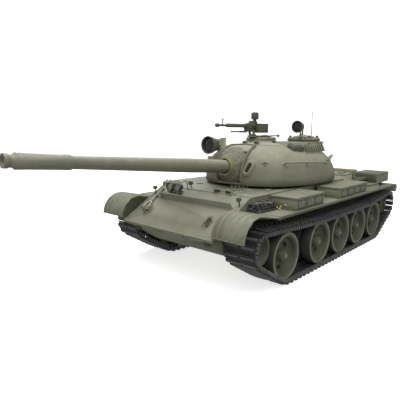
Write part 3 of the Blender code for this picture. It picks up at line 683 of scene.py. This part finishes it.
def headlamps():
    foot = -2330
    bits = [block((-525, foot - 22, glacisZ(foot - 20) + 40), (350, 78, 36), lying, 6)]
    lenses = []
    for x in (-620, -430):
        z = glacisZ(foot - 60) + 150
        bits.append(turned([(20, -75), (48, -70), (66, -30), (74, 20), (78, 44), (80, 62), (72, 62), (66, 36), (60, 30)],
                           (x, foot - 20, z), (0, -1, 0), 32))
        bits.append(block((x, foot - 25, z - 88), (30, 34, 70), edge=5))
        lenses.append(turned([(66, 30), (62, 38), (44, 46), (20, 50), (4, 51)], (x, foot - 20, z), (0, -1, 0), 28))
    joined("headlampShells", bits, "dark", "hull", ["headlight_unit"])
    joined("headlampGlass", lenses, "clearLens")
    bars = []
    for x in (-735, -525, -315):
        points = []
        for i in range(13):
            angle = math.radians(15 * i)
            y = foot - 45 - 135 * math.cos(angle)
            points.append((x, y, glacisZ(y) + 10 + 235 * math.sin(angle) ** 0.6))
        bars.append(pipe(points, 8))
    for back, lift, radius in ((45, 240, 8), (165, 105, 7)):
        y = foot - back
        bars.append(pipe([(-735, y, glacisZ(y) + lift), (-315, y, glacisZ(y) + lift)], radius))
    joined("lampGuard", bars, "hull")

def towCable():
    lift, count = 36, 60
    route = [(-905, -2290), (-892, -2340), (-878, -2420), (-866, -2500), (-858, -2570)]
    centre = []
    for i in range(count + 1):
        t = i / count * (len(route) - 1)
        k = min(int(t), len(route) - 2)
        p = Vector(route[k]).lerp(Vector(route[k + 1]), t - k)
        centre.append(Vector((p.x, p.y, glacisZ(p.y) + lift)))
    strands = []
    for s in range(3):
        points = []
        for i, p in enumerate(centre):
            angle = i * 0.5 + s * math.tau / 3
            points.append(tuple(p + Vector((7 * math.cos(angle), 0, 0)) + glacisUp * 7 * math.sin(angle)))
        strands.append(pipe(points, 8, 1))
    slope = Vector((0.1, -math.cos(glacis["slope"]), -math.sin(glacis["slope"]))).normalized()
    strands.append(turned([(12, 0), (19, 4), (21, 60), (15, 78), (8, 84)], tuple(centre[-1] - slope * 10), slope, 16))
    loop = []
    for i in range(28):
        angle = math.radians(90 - 360 * i / 28)
        y = -2738 + 84 * math.sin(angle)
        loop.append((-850 + 58 * math.cos(angle), y, glacisZ(y) + lift))
    strands.append(pipe(loop, 14, 2, True))
    strands.append(block((-850, -2662, glacisZ(-2662) + lift), (44, 36, 30), lying))
    joined("braidedTowEnd", strands, "steel", "hull", ["tow_cable"])
    clips = [block((-868, -2490, glacisZ(-2490) + 22), (90, 30, 30), lying),
             block((-898, -2310, glacisZ(-2310) + 22), (70, 26, 28), lying)]
    joined("towClips", clips, "dark")

def glacisFittings():
    bits = []
    for side in (-1, 1):                        # tow hooks
        x, y = side * 700, -2880
        ring = [(x + side * 44, y + 10 + 62 * c, glacisZ(y) + 66 + 62 * s) for c, s in around(24)]
        bits.append(pipe(ring, 13, 2, True))
        bits.append(crossRod(x, y + 14, glacisZ(y) + 74, 60, 14, 12, 3))
        bits.append(block((x, y + 70, glacisZ(y + 70) + 6), (130, 120, 14), lying, 4))
    bits.append(pipe([(-1030, -3138, 868), (1030, -3138, 868)], 9))
    for side in (-1, 1):
        bits.append(pipe([(side * 1036, -3120, 872), (side * 1036, -2230, glacisZ(-2230) + 1)], 9))
        for y in (-3060, -2760):
            bits.append(dot((side * 985, y, glacisZ(y)), glacisUp, 17, 16))
    bits.append(pipe([(-1030, -2194, 1402), (1030, -2194, 1402)], 8))
    y = -2440
    for x in range(-700, 900, 200):             # gussets behind the splash board
        bits.append(plate([(y - 20, glacisZ(y - 20) + 4), (y + 70, glacisZ(y + 70) + 2),
                           (y - 36, glacisZ(y - 36) + 88)], "X", x - 6, x + 6))
    bits += [dot((x, -2570, glacisZ(-2570)), glacisUp, 12, 9) for x in (120, 520, 820)]
    joined("glacisFittings", bits, "hull")
    lamps = []
    for side in (-1, 1):
        x, y = side * 985, -2412
        lamps.append(rod((x, y, glacisZ(y)), (x, y - 8, 1372), 12, 12, 2))
        lamps.append(turned([(14, -34), (28, -30), (34, 10), (36, 34), (28, 36)], (x, y - 8, 1390), (0, -1, 0), 20))
    lamps.append(rod((-470, -1985, 1398), (-470, -1985, 1462), 10, 12, 2))
    lamps.append(turned([(16, -36), (32, -30), (38, 14), (40, 34), (30, 36)], (-470, -1990, 1480), (0, -1, 0), 20))
    joined("markerLamps", lamps, "dark")
    nose = blocks(*(((x, noseY(x, 790) + 6, 790), (50, 40, 50), 6) for x in (-420, -330, -240, -150, 330, 420)))
    ears = []
    for x in (-820, 820):
        y = noseY(x, 760)
        ears.append(block((x, y + 8, 760), (90, 70, 90), edge=10))
        ears.append(crossRod(x, y - 18, 752, 62, 18, 14, 3))
    joined("noseFittings", nose, "rib")
    joined("noseEars", ears, "dark")

def driverArea():
    lid = blocks(((480, -1900, 1422), (230, 16, 14), 3), ((480, -1740, 1424), (120, 70, 16), 4))
    lid.append(staple(480, -1960, 1418, 60, 24))
    joined("driverLidFittings", lid, "dark", "driver_hatch")
    scopes, bits = ((350, 0.16), (590, -0.16)), []
    for x, turn in scopes:
        bits.append(block((x, -2172, 1436), (150, 62, 72), (0, 0, turn), 8, (0.9, 0.7)))
        bits.append(block((x, -2150, 1408), (190, 110, 16), (0, 0, turn), 4))
    row = []
    for i in range(5):
        row.append(block((150 + i * 52, -1545 + i * 48, 1424), (44, 52, 46), (0, 0, 0.72), 5, (0.86, 0.8)))
        row.append(dot((186 + i * 52, -1600 + i * 48, 1400), (0, 0, 1), 9, 12))
    joined("sightGuardRow", row, "dark")
    glass = [block((x, -2204, 1442), (112, 10, 38), (0, 0, turn), 3) for x, turn in scopes]
    ring = [(480 + 196 * c, -1900 + 196 * s + 58 * math.copysign(1, s), 1402) for c, s in around(40)]
    bits.append(pipe(ring, 7, 2, True))
    bits.append(pipe([(1010 * c, 200 + 1010 * s, 1403) for c, s in around(64)], 10, 2, True))
    for c, s in around(24, 0.5):
        if abs(s) > 0.25:
            bits.append(dot((975 * c, 200 + 975 * s, 1400), (0, 0, 1), 11, 9))
    for x, y in ((-700, -1500), (820, -1350), (-820, 1250), (860, 1100)):
        bits.append(turned([(60, 0), (64, 10), (56, 20), (20, 24)], (x, y, 1400), sides=24))
    for x in (-760, 760):
        bits.append(pipe([(x, -1150, 1400), (x, -1150, 1440), (x, -980, 1440), (x, -980, 1400)], 8))
    joined("roofFittings", bits, "hull")
    joined("periscopeGlass", glass, "lens")

ribbedGuard(1, "left")
ribbedGuard(-1, "right")
headlamps()
towCable()
glacisFittings()
driverArea()
print("hull front made")

# Fender stowage

def boxOf(node):
    low, high = (fullSize(Vector(c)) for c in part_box(node))
    return low, high, (low + high) / 2, high - low

def stowageBox(node, slots, name, outer):
    low, high, mid, size = boxOf(node)
    lid = 46
    bits = blocks(((mid.x, mid.y, (low.z + high.z - lid) / 2), (size.x - 16, size.y - 16, size.z - lid), 12),
                  ((mid.x, mid.y, high.z - lid / 2 - 2), (size.x - 2, size.y - 2, lid - 6), 10))
    face = high.x - 8 if outer > 0 else low.x + 8
    length = (size.y - 80) / slots
    z0, z1 = low.z + 26, high.z - lid - 18
    # near-black strips round the panels and under the lid lip: painted shade in the gaps
    gapShade = []
    for i in range(slots):
        y = low.y + 40 + length * (i + 0.5)
        frameLine = [(face, y - length * 0.42, z0), (face, y + length * 0.42, z0),
                     (face, y + length * 0.42, z1), (face, y - length * 0.42, z1)]
        gapShade.append(pipe(frameLine, 7, 1, True))
        gapShade.append(block((face - outer * 4, y, high.z - lid + 1), (10, length * 0.98, 7), edge=0))
        bits += blocks(((face, y, z1 - 8), (14, 46, 60), 4), ((face, y, high.z - lid + 6), (14, 34, 22), 3),
                       ((mid.x, y, high.z - 3), (size.x - 30, 26, 5), 1))
    for y in (low.y + 3, high.y - 3):
        outY = y - math.copysign(3, mid.y - y)
        bits.append(block((mid.x, y, mid.z - 20), (size.x * 0.62, 9, size.z * 0.42), edge=3))
        bits.append(pipe([(mid.x - 60, y, mid.z), (mid.x - 60, outY, mid.z + 6), (mid.x + 60, outY, mid.z + 6),
                          (mid.x + 60, y, mid.z)], 6, 1))
    for share in (0.25, 0.75):
        bits.append(block((mid.x - outer * (size.x / 2 - 12), low.y + size.y * share, high.z - lid), (22, 120, 26), edge=5))
    joined(name, bits, "hull", "hull", [node])
    joined(name + "Seams", gapShade, "shade")

def tank(node, name):
    low, high, mid, size = boxOf(node)
    bits = [block(tuple(mid), (size.x - 14, size.y - 14, size.z - 12), edge=34)]
    soften(bits[0], 4, 2, 20)
    for share in (0.14, 0.5, 0.86):
        y = low.y + size.y * share
        bits += blocks(((mid.x, y, mid.z), (size.x - 4, 34, size.z - 4), 20), ((low.x + 8, y, mid.z + 30), (14, 44, 70), 4))
    bits.append(turned([(52, 0), (54, 12), (44, 20), (14, 22)],
                       (mid.x + 80, low.y + size.y * 0.3, high.z - 20), sides=24))
    bits.append(block((mid.x - 90, low.y + size.y * 0.68, high.z - 4), (130, 190, 8), edge=3))
    joined(name, bits, "hull", "hull", [node])

def rearBin(side, word):
    bits = [dot((side * x, y, 1489), (0, 0, 1), 11, 9) for y in (2160, 2330, 2500, 2670, 2840) for x in (965, 1470)]
    x = side * 1218
    bits.append(block((x, 2500, 1492), (460, 720, 8), edge=3))
    bits.append(pipe([(x, 2420, 1494), (x, 2420, 1514), (x, 2580, 1514), (x, 2580, 1494)], 7))
    bits += blocks(((side * 1502, 2500, 1455), (10, 60, 60), 3), ((side * 1220, 2097, 1440), (420, 8, 60), 3))
    bits += [dot((side * x, 2100, 1390), (0, -1, 0), 11, 9) for x in (1060, 1150, 1290, 1380)]
    joined("rearBoxFittings_" + word, bits, "dark")

def toolBundle():
    random.seed(4)
    vary = random.uniform
    bits = []
    for x, z, radius in ((1092, 1226, 32), (1150, 1222, 36), (1118, 1286, 30), (1206, 1220, 26), (1176, 1272, 24)):
        bits.append(rod((x, -2300 + vary(-30, 40), z), (x + vary(-10, 24), -1745, z + vary(0, 12)), radius, 12, 5))
    for y in (-2240, -2150, -2030, -1900, -1800):
        bits.append(block((1148, y, 1254), (vary(150, 210), vary(34, 70), vary(110, 150)),
                          (vary(-0.3, 0.3), vary(-0.25, 0.25), vary(-0.4, 0.4)), 12))
    bits.append(block((1200, -2215, 1206), (150, 190, 16), (0.1, 0.05, 0.3), 6, (0.7, 0.9)))
    bits.append(rod((1255, -2330, 1204), (1290, -1800, 1206), 14, 12, 3))
    joined("toolBundle", bits, "tools")
    buckles = [turned([(8, -6), (15, -2), (17, 6), (10, 14), (3, 16)], place, (0, -1, 0.2), 14)
               for place in ((1318, -1733, 1222), (1402, -1733, 1262), (1270, -1765, 1212), (1335, -1790, 1200))]
    straps = [block((1150, y, 1334), (120, 24, 12), (0, 0.1, 0), 3) for y in (-2190, -1990, -1850)]
    joined("toolBuckles", buckles, "brass")
    joined("toolStraps", straps, "dark")

def exhaust():
    bits = blocks(((1478, 1640, 1276), (280, 560, 10), 4), ((1612, 1640, 1226), (20, 470, 70), 5))
    bits += [block((1478, 1410 + i * 57, 1290), (230, 12, 30), (0.5, 0, 0), 3) for i in range(9)]
    bits += blocks(*(((x, 1640, 1290), (16, 560, 34), 4) for x in (1352, 1604)))
    joined("exhaustOutlet", bits, "dark")

stowageBox("stowage_box_front", 3, "stowageFront", 1)
stowageBox("stowage_box_middle", 4, "stowageMiddle", 1)
tank("fuel_tank_front", "fuelTankFront")
tank("fuel_tank_rear", "fuelTankRear")
rearBin(1, "left")
rearBin(-1, "right")
toolBundle()
exhaust()
print("fender stowage made")

# Engine deck and rear

def engineCover():
    bits = [block((x, 2045 + i * 56, 1436), (520, 14, 10), (0.35, 0, 0), 3) for x in (-430, 250) for i in range(7)]
    bits += blocks(*(((x, 2215, 1438), (16, 400, 12), 3) for x in (-640, -40, 40, 640)))
    for x, y in ((-740, 1950), (740, 1950), (-740, 2470), (740, 2470), (0, 1950), (0, 2470), (-400, 2470), (400, 2470)):
        bits.append(dot((x, y, 1421), (0, 0, 1), 14, 11))
    for x in (-350, 350):
        bits.append(staple(x, 2470, 1421, 70, 31))
        bits.append(block((x, 1925, 1424), (150, 34, 22)))
    bits += blocks(*(((x, 2720, 1450), (24, 400, 20), 4) for x in (-716, 716)),
                   *(((0, y, 1450), (1440, 20, 20), 4) for y in (2530, 2690, 2912)))
    joined("deckGrilles", bits, "hull")
    wires = []
    for i in range(49):
        x = -700 + i * 1400 / 48
        wires.append(pipe([(x, 2700, 1452), (x, 2905, 1452)], 5, 0))
    for i in range(9):
        y = 2702 + i * 25
        wires.append(pipe([(-705, y, 1457), (705, y, 1457)], 5, 0))
    wires += blocks(*(((0, y, 1468), (1424, 12, 34), 3) for y in (2694, 2911)),
                    *(((x, 2802, 1468), (12, 216, 34), 3) for x in (-708, 708)))
    joined("screenMesh", wires, "mesh")
    joined("fanSlats", blocks(*(((0, 2545 + i * 10.5, 1447), (1400, 4, 8), 0) for i in range(14))), "dark")
    beam = []
    for ends, across, high, radius in ((1010, 96, 98, 5), (1585, 92, 92, 8)):
        for x in (-ends, ends):
            beam.append(pipe([(x, 3215 + across * c, 1065 + high * s) for c, s in around(24)], radius, 1, True))
    joined("beamBands", beam, "dark")
    rear = []
    for x in (-600, 600):
        rear.append(block((x, 3002, 900), (120, 30, 150), edge=10))
        rear.append(pipe([(x, 3010, 930), (x, 3060, 925), (x, 3075, 890), (x, 3050, 860), (x, 3015, 862)], 16, 3))
    for x in (-860, 860):
        rear.append(turned([(20, 0), (38, 4), (40, 40), (34, 46), (8, 48)], (x, 2984, 1180), (0, 1, 0), 20))
    rear += [dot((-800 + 200 * i, 2966, 1120), (0, 1, 0), 13, 18) for i in range(9)]
    joined("rearFittings", rear, "dark")

engineCover()
print("engine deck made")

# Turret

shellTree = treeOf("turret_shell")

def onShell(x, y, z):
    aim, start = at(0, 200, 1650), at(x, y, z)
    start = aim + (start - aim).normalized() * 0.4
    hit, normal, _, _ = shellTree.ray_cast(start, (aim - start).normalized())
    return fullSize(hit), normal

def standOff(spots, lift):
    points = []
    for spot in spots:
        place, normal = onShell(*spot)
        points.append(tuple(place + normal * lift))
    return points

def handrail(spots, lift=84, radius=19):
    bits = [pipe(standOff(spots, lift), radius, 3)]
    for spot in (spots[0], spots[len(spots) // 2], spots[-1]):
        place, normal = onShell(*spot)
        bits.append(rod(tuple(place - normal * 4), tuple(place + normal * lift), radius * 0.85, 12))
        bits.append(turned([(34, 0), (32, 8), (18, 14)], tuple(place - normal * 2), normal, 16))
    return bits

def between(a, b, count):
    a, b = Vector(a), Vector(b)
    return [tuple(a.lerp(b, i / (count - 1))) for i in range(count)]

def turretRails():
    bits = []
    for line in (((879, -946, 1850), (1063, 178, 1790)), ((-879, -846, 1850), (-1063, 178, 1790)),
                 ((1085, 300, 1850), (930, 950, 1900)), ((-1085, 300, 1850), (-930, 950, 1900))):
        bits += handrail(between(*line, 9))
    for spot in ((652, -1224, 1875), (-760, -1130, 1860), (-620, 1300, 1900), (620, 1300, 1900)):
        place, normal = onShell(*spot)
        side = normal.cross(Vector((0, 0, 1))).normalized()
        up = side.cross(normal).normalized()
        bits.append(rod(tuple(place - normal * 6), tuple(place + normal * 52), 20, 12, 4))
        for arm in (side, up):
            bits.append(rod(tuple(place - arm * 56 + normal * 5), tuple(place + arm * 56 + normal * 5), 15, 8, 3))
    # the rails take the lighter rib finish: painted highlight along the pipes
    joined("turretRails", bits, "rib", "turret")

def sightPort():
    place, normal = onShell(408, -1390, 1775)
    lean = Vector((95, 60, 230)).normalized()
    lean = (lean - normal * lean.dot(normal)).normalized()
    across = lean.cross(normal).normalized()

    def loop(half, reach, lift, count=10):
        points = []
        for end in (1, -1):
            for i in range(count + 1):
                angle = math.pi * i / count
                p = across * end * half * math.cos(angle) + lean * end * (reach + half * math.sin(angle))
                points.append(tuple(place + p + normal * lift))
        return points
    joined("sightRim", [pipe(loop(54, 64, 8), 24, 3, True), pipe(loop(76, 72, -6), 18, 2, True)], "rib", "turret")
    slot = slab([at(*p) for p in loop(34, 56, 9)], tuple(normal * mm(-20)))
    joined("sightSlot", [slot], "shade", "turret")

def canvasEdge():
    bits = []
    for side in (-1, 1):
        spots = [(side * 272, -1452, 1520), (side * 286, -1452, 1620), (side * 292, -1440, 1720), (side * 296, -1420, 1810),
                 (side * 304, -1388, 1900), (side * 306, -1330, 1985), (side * 300, -1230, 2060), (side * 284, -1110, 2124),
                 (side * 262, -1000, 2162)]
        bits.append(pipe([tuple(Vector(s) + Vector((side * 14, -8, 8))) for s in spots], 29, 3))
        for spot in spots[1::2]:
            bits.append(dot((spot[0] + side * 34, spot[1] + 8, spot[2] + 14), (side * 0.3, -1, 0.5), 9, 12))
    bits.append(pipe([(-262, -990, 2174), (0, -960, 2186), (262, -990, 2174)], 20, 3))
    joined("canvasEdge", bits, "bead", "turret")

def roofDetail():
    shoulder = [block((742, -318, 2118), (210, 300, 130), (0, 0.34, -0.26), 10, (0.92, 0.92)),
                block((768, -318, 2186), (130, 210, 20), (0, 0.34, -0.26), 5)]
    for u, v in ((-70, -110), (70, -110), (-70, 110), (70, 110)):
        shoulder.append(dot((742 + u, -318 + v, 2172 - u * 0.34), (0.33, 0, 1), 13, 18))
    joined("shoulderBlock", shoulder, "dark", "turret")
    bits = []
    for i in range(8):
        y = -110 + i * 98
        bits.append(plate([(858, 2196), (900, 2120), (930, 2040), (846, 2040), (846, 2196)], "Y", y - 14, y + 14, 4))
    bits.append(pipe([(862, -20, 2222), (856, 250, 2222), (852, 540, 2222), (826, 700, 2222), (740, 840, 2222),
                      (600, 915, 2222), (450, 944, 2222)], 10, 2))
    seam = []
    for i in range(52):
        angle = math.radians(-150 + i * 5.9)
        place, normal = onShell(760 * math.cos(angle), 130 + 1000 * math.sin(angle), 2150)
        if normal.z > 0.4:
            seam.append(tuple(place + normal * 1))
    bits.append(pipe(seam, 8, 1))
    bits.append(turned([(436, 0), (430, 8), (352, 46), (340, 50), (338, 52)], (-480, 300, 2182), sides=48))
    bits.append(turned([(120, 0), (118, 16), (96, 34), (54, 44), (10, 47)], (20, -560, 2196)))
    bits += boltRing(20, -560, 2194, 134, 8, 9, 12)
    for x, y, turn in ((250, -300, 0.2), (-120, -780, 0), (180, -820, 0)):
        bits.append(block((x, y, 2226), (96, 66, 56), (0, 0, turn), 6, (0.9, 0.75)))
    joined("roofDetail", bits, "cast", "turret")
    glass = [block(place, (72, 6, 26), (0, 0, turn), 2)
             for place, turn in (((257, -334, 2234), 0.2), ((-120, -814, 2232), 0), ((180, -854, 2232), 0))]
    joined("roofGlass", glass, "lens", "turret")

def cupolaDetail():
    bits = boltRing(450, 540, 2304, 312, 16, 10, 14, 0.5)
    for degrees in (-130, -52, 52, 130):
        angle = math.radians(degrees - 90)
        x, y = 450 + 282 * math.cos(angle), 540 + 282 * math.sin(angle)
        bits.append(block((x, y, 2330), (74, 50, 50), (0, 0, angle - math.pi / 2), 6, (0.9, 0.75)))
    bits.append(turned([(338, 0), (346, 6), (346, 22), (336, 30)], (450, 540, 2252), sides=48, hollow=True))
    joined("cupolaFittings", bits, "dark", "cupola")
    lid = [staple(450, 500, 2348, 60, 24), block((450, 740, 2340), (90, 60, 30)),
           turned([(40, 0), (44, 8), (34, 16), (8, 18)], (450, 600, 2342), sides=24)]
    joined("commanderLidFittings", lid, "dark", "commander_hatch")
    ring = boltRing(-480, 300, 2290, 318, 14, 10, 14)
    ring.append(rod((-330, 90, 2334), (6, 214, 2346), 13, 14, 3))
    ring.append(turned([(8, -30), (24, -20), (30, 0), (24, 20), (8, 30)], (16, 218, 2346), (1, 0.4, 0), 20))
    ring.append(block((-300, 108, 2326), (60, 50, 44)))
    joined("loaderFittings", ring, "dark", "loader_ring")
    lid = [staple(-480, 440, 2340, 60, 18, 7), block((-480, 500, 2338), (120, 50, 26))]
    joined("loaderLidFittings", lid, "dark", "loader_ring")

turretRails()
sightPort()
canvasEdge()
roofDetail()
cupolaDetail()
print("turret made")

# Canvas cover

cover = {"across": 84, "along": 30, "sag": 13, "thick": 8}
gunAlong = Vector((0, -math.cos(model["gunLift"]), math.sin(model["gunLift"])))
gunUp = Vector((0, math.sin(model["gunLift"]), math.cos(model["gunLift"])))

def gunAxis(distance):
    return trunnion + gunAlong * distance

def canvasCover():
    count, rows = cover["across"], cover["along"]
    corners, faces = [], []
    for j in range(rows + 1):
        t = j / rows
        for i in range(count):
            angle = math.tau * i / count
            c, s = math.cos(angle), math.sin(angle)
            rear = Vector((-20 + 306 * math.copysign(abs(c) ** 0.7, c), 0, 1800 + 338 * math.copysign(abs(s) ** 0.7, s)))
            rear.y = -1400 + 0.95 * max(0, rear.z - 1900) + (0.15 * max(0, 1620 - rear.z))
            front = gunAxis(572) + Vector((1, 0, 0)) * 160 * c + gunUp * 160 * s
            p = rear.lerp(front, t ** 1.25)
            fold = (math.sin(angle * 5 + 2.4 * t + 1.3 * math.sin(3 * angle)) * 5
                    + math.sin(t * 17 + 1.7 * math.sin(2 * angle)) * 7)
            crumple = noise.noise(Vector(p) / 62) * 20 + noise.noise(Vector(p) / 26) * 8
            outward = Vector((c, -0.35, s)).normalized()
            p += outward * math.sin(math.pi * t) * (fold + crumple + cover["sag"] * (1.3 if s < 0 else 0.4) - 4)
            corners.append(at(*p))
    for j in range(rows):
        for i in range(count):
            k = (i + 1) % count
            faces.append((j * count + i, (j + 1) * count + i, (j + 1) * count + k, j * count + k))
    mesh = bpy.data.meshes.new("canvasBoot")
    mesh.from_pydata(corners, [], faces)
    boot = linked("canvasBoot", mesh)
    outwards(boot)
    modified(boot, "SUBSURF", levels=1, render_levels=1)
    modified(boot, "SOLIDIFY", thickness=mm(cover["thick"]), offset=-1)
    coat(boot, "cloth")
    smooth(boot, 60)
    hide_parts("mantlet_cover")
    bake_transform(boot)

canvasCover()
screw = gunAxis(580)
clampBits = [block(tuple(screw + Vector((0, 0, 172))), (40, 26, 30), (-model["gunLift"], 0, 0), 4),
             rod(tuple(screw + Vector((-34, 0, 176))), tuple(screw + Vector((34, 0, 176))), 8, 10, 2)]
joined("clampScrew", clampBits, "brass", "gun")
print("canvas made")

# Guns and lamps

def barrelBands():
    bits = []
    radius = 98
    for distance in (3740, 3790, 4360, 4405):
        bits.append(turned([(radius, 0), (radius + 3, 3), (radius + 3, 17), (radius, 20)],
                           tuple(trunnion), gunAlong, 40, True))
        bits[-1].data.transform(Matrix.Translation(gunAlong * mm(distance)))
    for c, s in around(10):
        side = Vector((c, 0, 0)) + gunUp * s
        bits.append(dot(tuple(trunnion + gunAlong * 4340 + side * 96), side, 8, 6))
    joined("barrelBands", bits, "barrel", "barrel")
    bore = turned([(50, 0), (50, 3), (6, 4)], tuple(trunnion + gunAlong * (4562 - 198)), gunAlong, 24)
    joined("boreShade", [bore], "shade", "barrel")

def machineGun():
    x, z = -500, 2556
    bits = blocks(((x, -10, 2549), (104, 540, 108), 12), ((x, -60, 2606), (76, 300, 18), 5),
                  ((x, 235, 2552), (92, 60, 116), 8))
    for y in (-230, -120, 40, 150):             # ribs and bolts of the receiver
        bits.append(block((x, y, 2549), (112, 16, 96), edge=4))
        bits.append(dot((x + 54, y - 40, 2560), (1, 0, 0), 10, 9))
    profile = [(32, 270)]
    for i in range(22):                         # cooling fins
        y = 300 + i * 28
        profile += [(31, y), (40, y + 5), (40, y + 14), (31, y + 19)]
    profile += [(31, 930), (23, 950), (23, 1150), (27, 1160), (38, 1186), (39, 1206), (29, 1214), (39, 1222),
                (36, 1244), (20, 1260)]
    bits.append(turned(profile, (x, 0, z), (0, -1, 0), 20))
    bits.append(block((x, -1041, z + 64), (14, 22, 120), edge=3))
    bits.append(staple(x, -1041, z + 112, 16, 22, 5))
    bits.append(block((x, -25, 2460), (66, 440, 62), edge=8))
    bits.append(rod((x, -230, 2430), (x, -770, 2430), 15, 14, 3))
    for i in range(16):                         # recoil spring
        bits.append(turned([(17, 0), (21, 2), (21, 6), (17, 8)], (x, -250 - i * 14, 2430), (0, -1, 0), 14))
    bits += blocks(((x + 108, 190, 2499), (118, 350, 190), 10), ((x + 108, 190, 2597), (124, 356, 14), 4),
                   *(((x + 108, 60 + i * 65, 2493), (126, 12, 150), 4) for i in range(5)),
                   ((x + 52, -30, 2570), (44, 110, 50), 8))
    bits.append(block((x, 0, 2634), (92, 250, 66), edge=14, taper=(0.8, 0.8)))
    bits += blocks(((x, -110, 2486), (84, 330, 70), 10), ((x, 64, 2686), (52, 60, 70), 6),
                   ((x, 70, 2768), (124, 122, 148), 12), ((x, 8, 2772), (96, 8, 110), 6), ((x, 70, 2846), (60, 90, 8), 3))
    bits += [rod((x + u, 262, 2520), (x + u, 262, 2590), 9, 10, 2) for u in (-30, 30)]
    joined("roofMachineGun", bits, "gun", "machine_gun", ["machine_gun"])
    pivot = [crossRod(x, -40, 2440, 68, 14, 16, 3), block((x, -10, 2340), (170, 150, 26), edge=8),
             turned([(110, 0), (104, 8), (72, 40), (56, 60), (50, 62)], (x, -18, 2316), sides=28)]
    joined("gunPedestal", pivot, "gun", "loader_ring")

def searchLamp(name, centre, r, body, node, lugs):
    x, y, z = centre
    shell = [(0.2, -1.24), (0.58, -1.2), (0.66, -1.05), (0.8, -0.72), (0.93, -0.42), (0.97, -0.1), (1, -0.06),
             (1, 0.07), (0.9, 0.07), (0.87, -0.06), (0.85, -0.24), (0.3, -0.5)]
    glass = [(0.85, -0.22), (0.8, -0.17), (0.6, -0.12), (0.3, -0.09), (0.05, -0.08)]
    bits = [turned([(r * a, r * b) for a, b in shell], centre, (0, -1, 0), 48)]
    for k in (0.78, 0.94, 1.1):
        ring = [(r * 0.5, 0), (r * 0.74, 3), (r * 0.74, 9), (r * 0.5, 12)]
        bits.append(turned(ring, (x, y + r * k, z), (0, -1, 0), 32, True))
    for c, s in around(12):
        bits.append(dot((x + r * 0.985 * c, y + 6, z + r * 0.985 * s), (c * 0.2, -1, s * 0.2), r * 0.05, r * 0.11))
    joined(name + "Shell", bits + lugs, "gun", body, [node])
    joined(name + "Glass", [turned([(r * a, r * b) for a, b in glass], centre, (0, -1, 0), 40)], "lens", body)

def lamps():
    lug = [block((-520, -1215, 2156), (26, 150, 66), edge=5), crossRod(-520, -1160, 2150, 70, 15, 16, 3)]
    searchLamp("gunLamp", (-520, -1456, 2171), 172, "searchlight", "gun_searchlight", lug)
    lug = [block((537, 254, 2512), (16, 80, 42), edge=4), crossRod(537, 274, 2512, 46, 11, 14, 2)]
    searchLamp("roofLamp", (537, 84, 2534), 123, "small_lamp", "cupola_searchlight", lug)
    bits = blocks(((-520, -1045, 2120), (150, 70, 300), 10), ((-520, -1000, 2290), (120, 50, 30), 6))
    for x in (-442, -616):
        bits.append(plate([(-1000, 2060), (-760, 2150), (-700, 2120), (-960, 2000)], "X", x, x + 18, 3))
    bits += [dot((x, -1082, z), (0, -1, 0), 10, 8) for x in (-570, -470) for z in (2020, 2240)]
    joined("lampBracket", bits, "hull", "turret")
    base = turned([(48, 0), (52, 8), (44, 26), (30, 34), (34, 44), (28, 54), (32, 64), (24, 76), (14, 92), (9, 140)],
                  (350, 1075, 2100), sides=24)
    joined("aerialBase", [base], "gun", "turret")

barrelBands()
machineGun()
lamps()
print("guns and lamps made")

# Skins of the nodes that keep their shape

def smoothSkins():
    bodyName = {empty: name for name, empty in frame["bodies"].items()}
    for node, source in frame["nodes"].items():
        if source.hide_render:                  # a detailed piece stands for it already
            continue
        words = node.split("_")
        skin = linked(words[0] + "".join(w.title() for w in words[1:]), source.data.copy())
        editAll(skin)
        bpy.ops.mesh.remove_doubles(threshold=0.000002)
        leaveEdit()
        smooth(skin, {"turret_shell": 48}.get(node, 36))
        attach(skin, bodyName[source.parent])
        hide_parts(node)

smoothSkins()
print("smooth skins made")
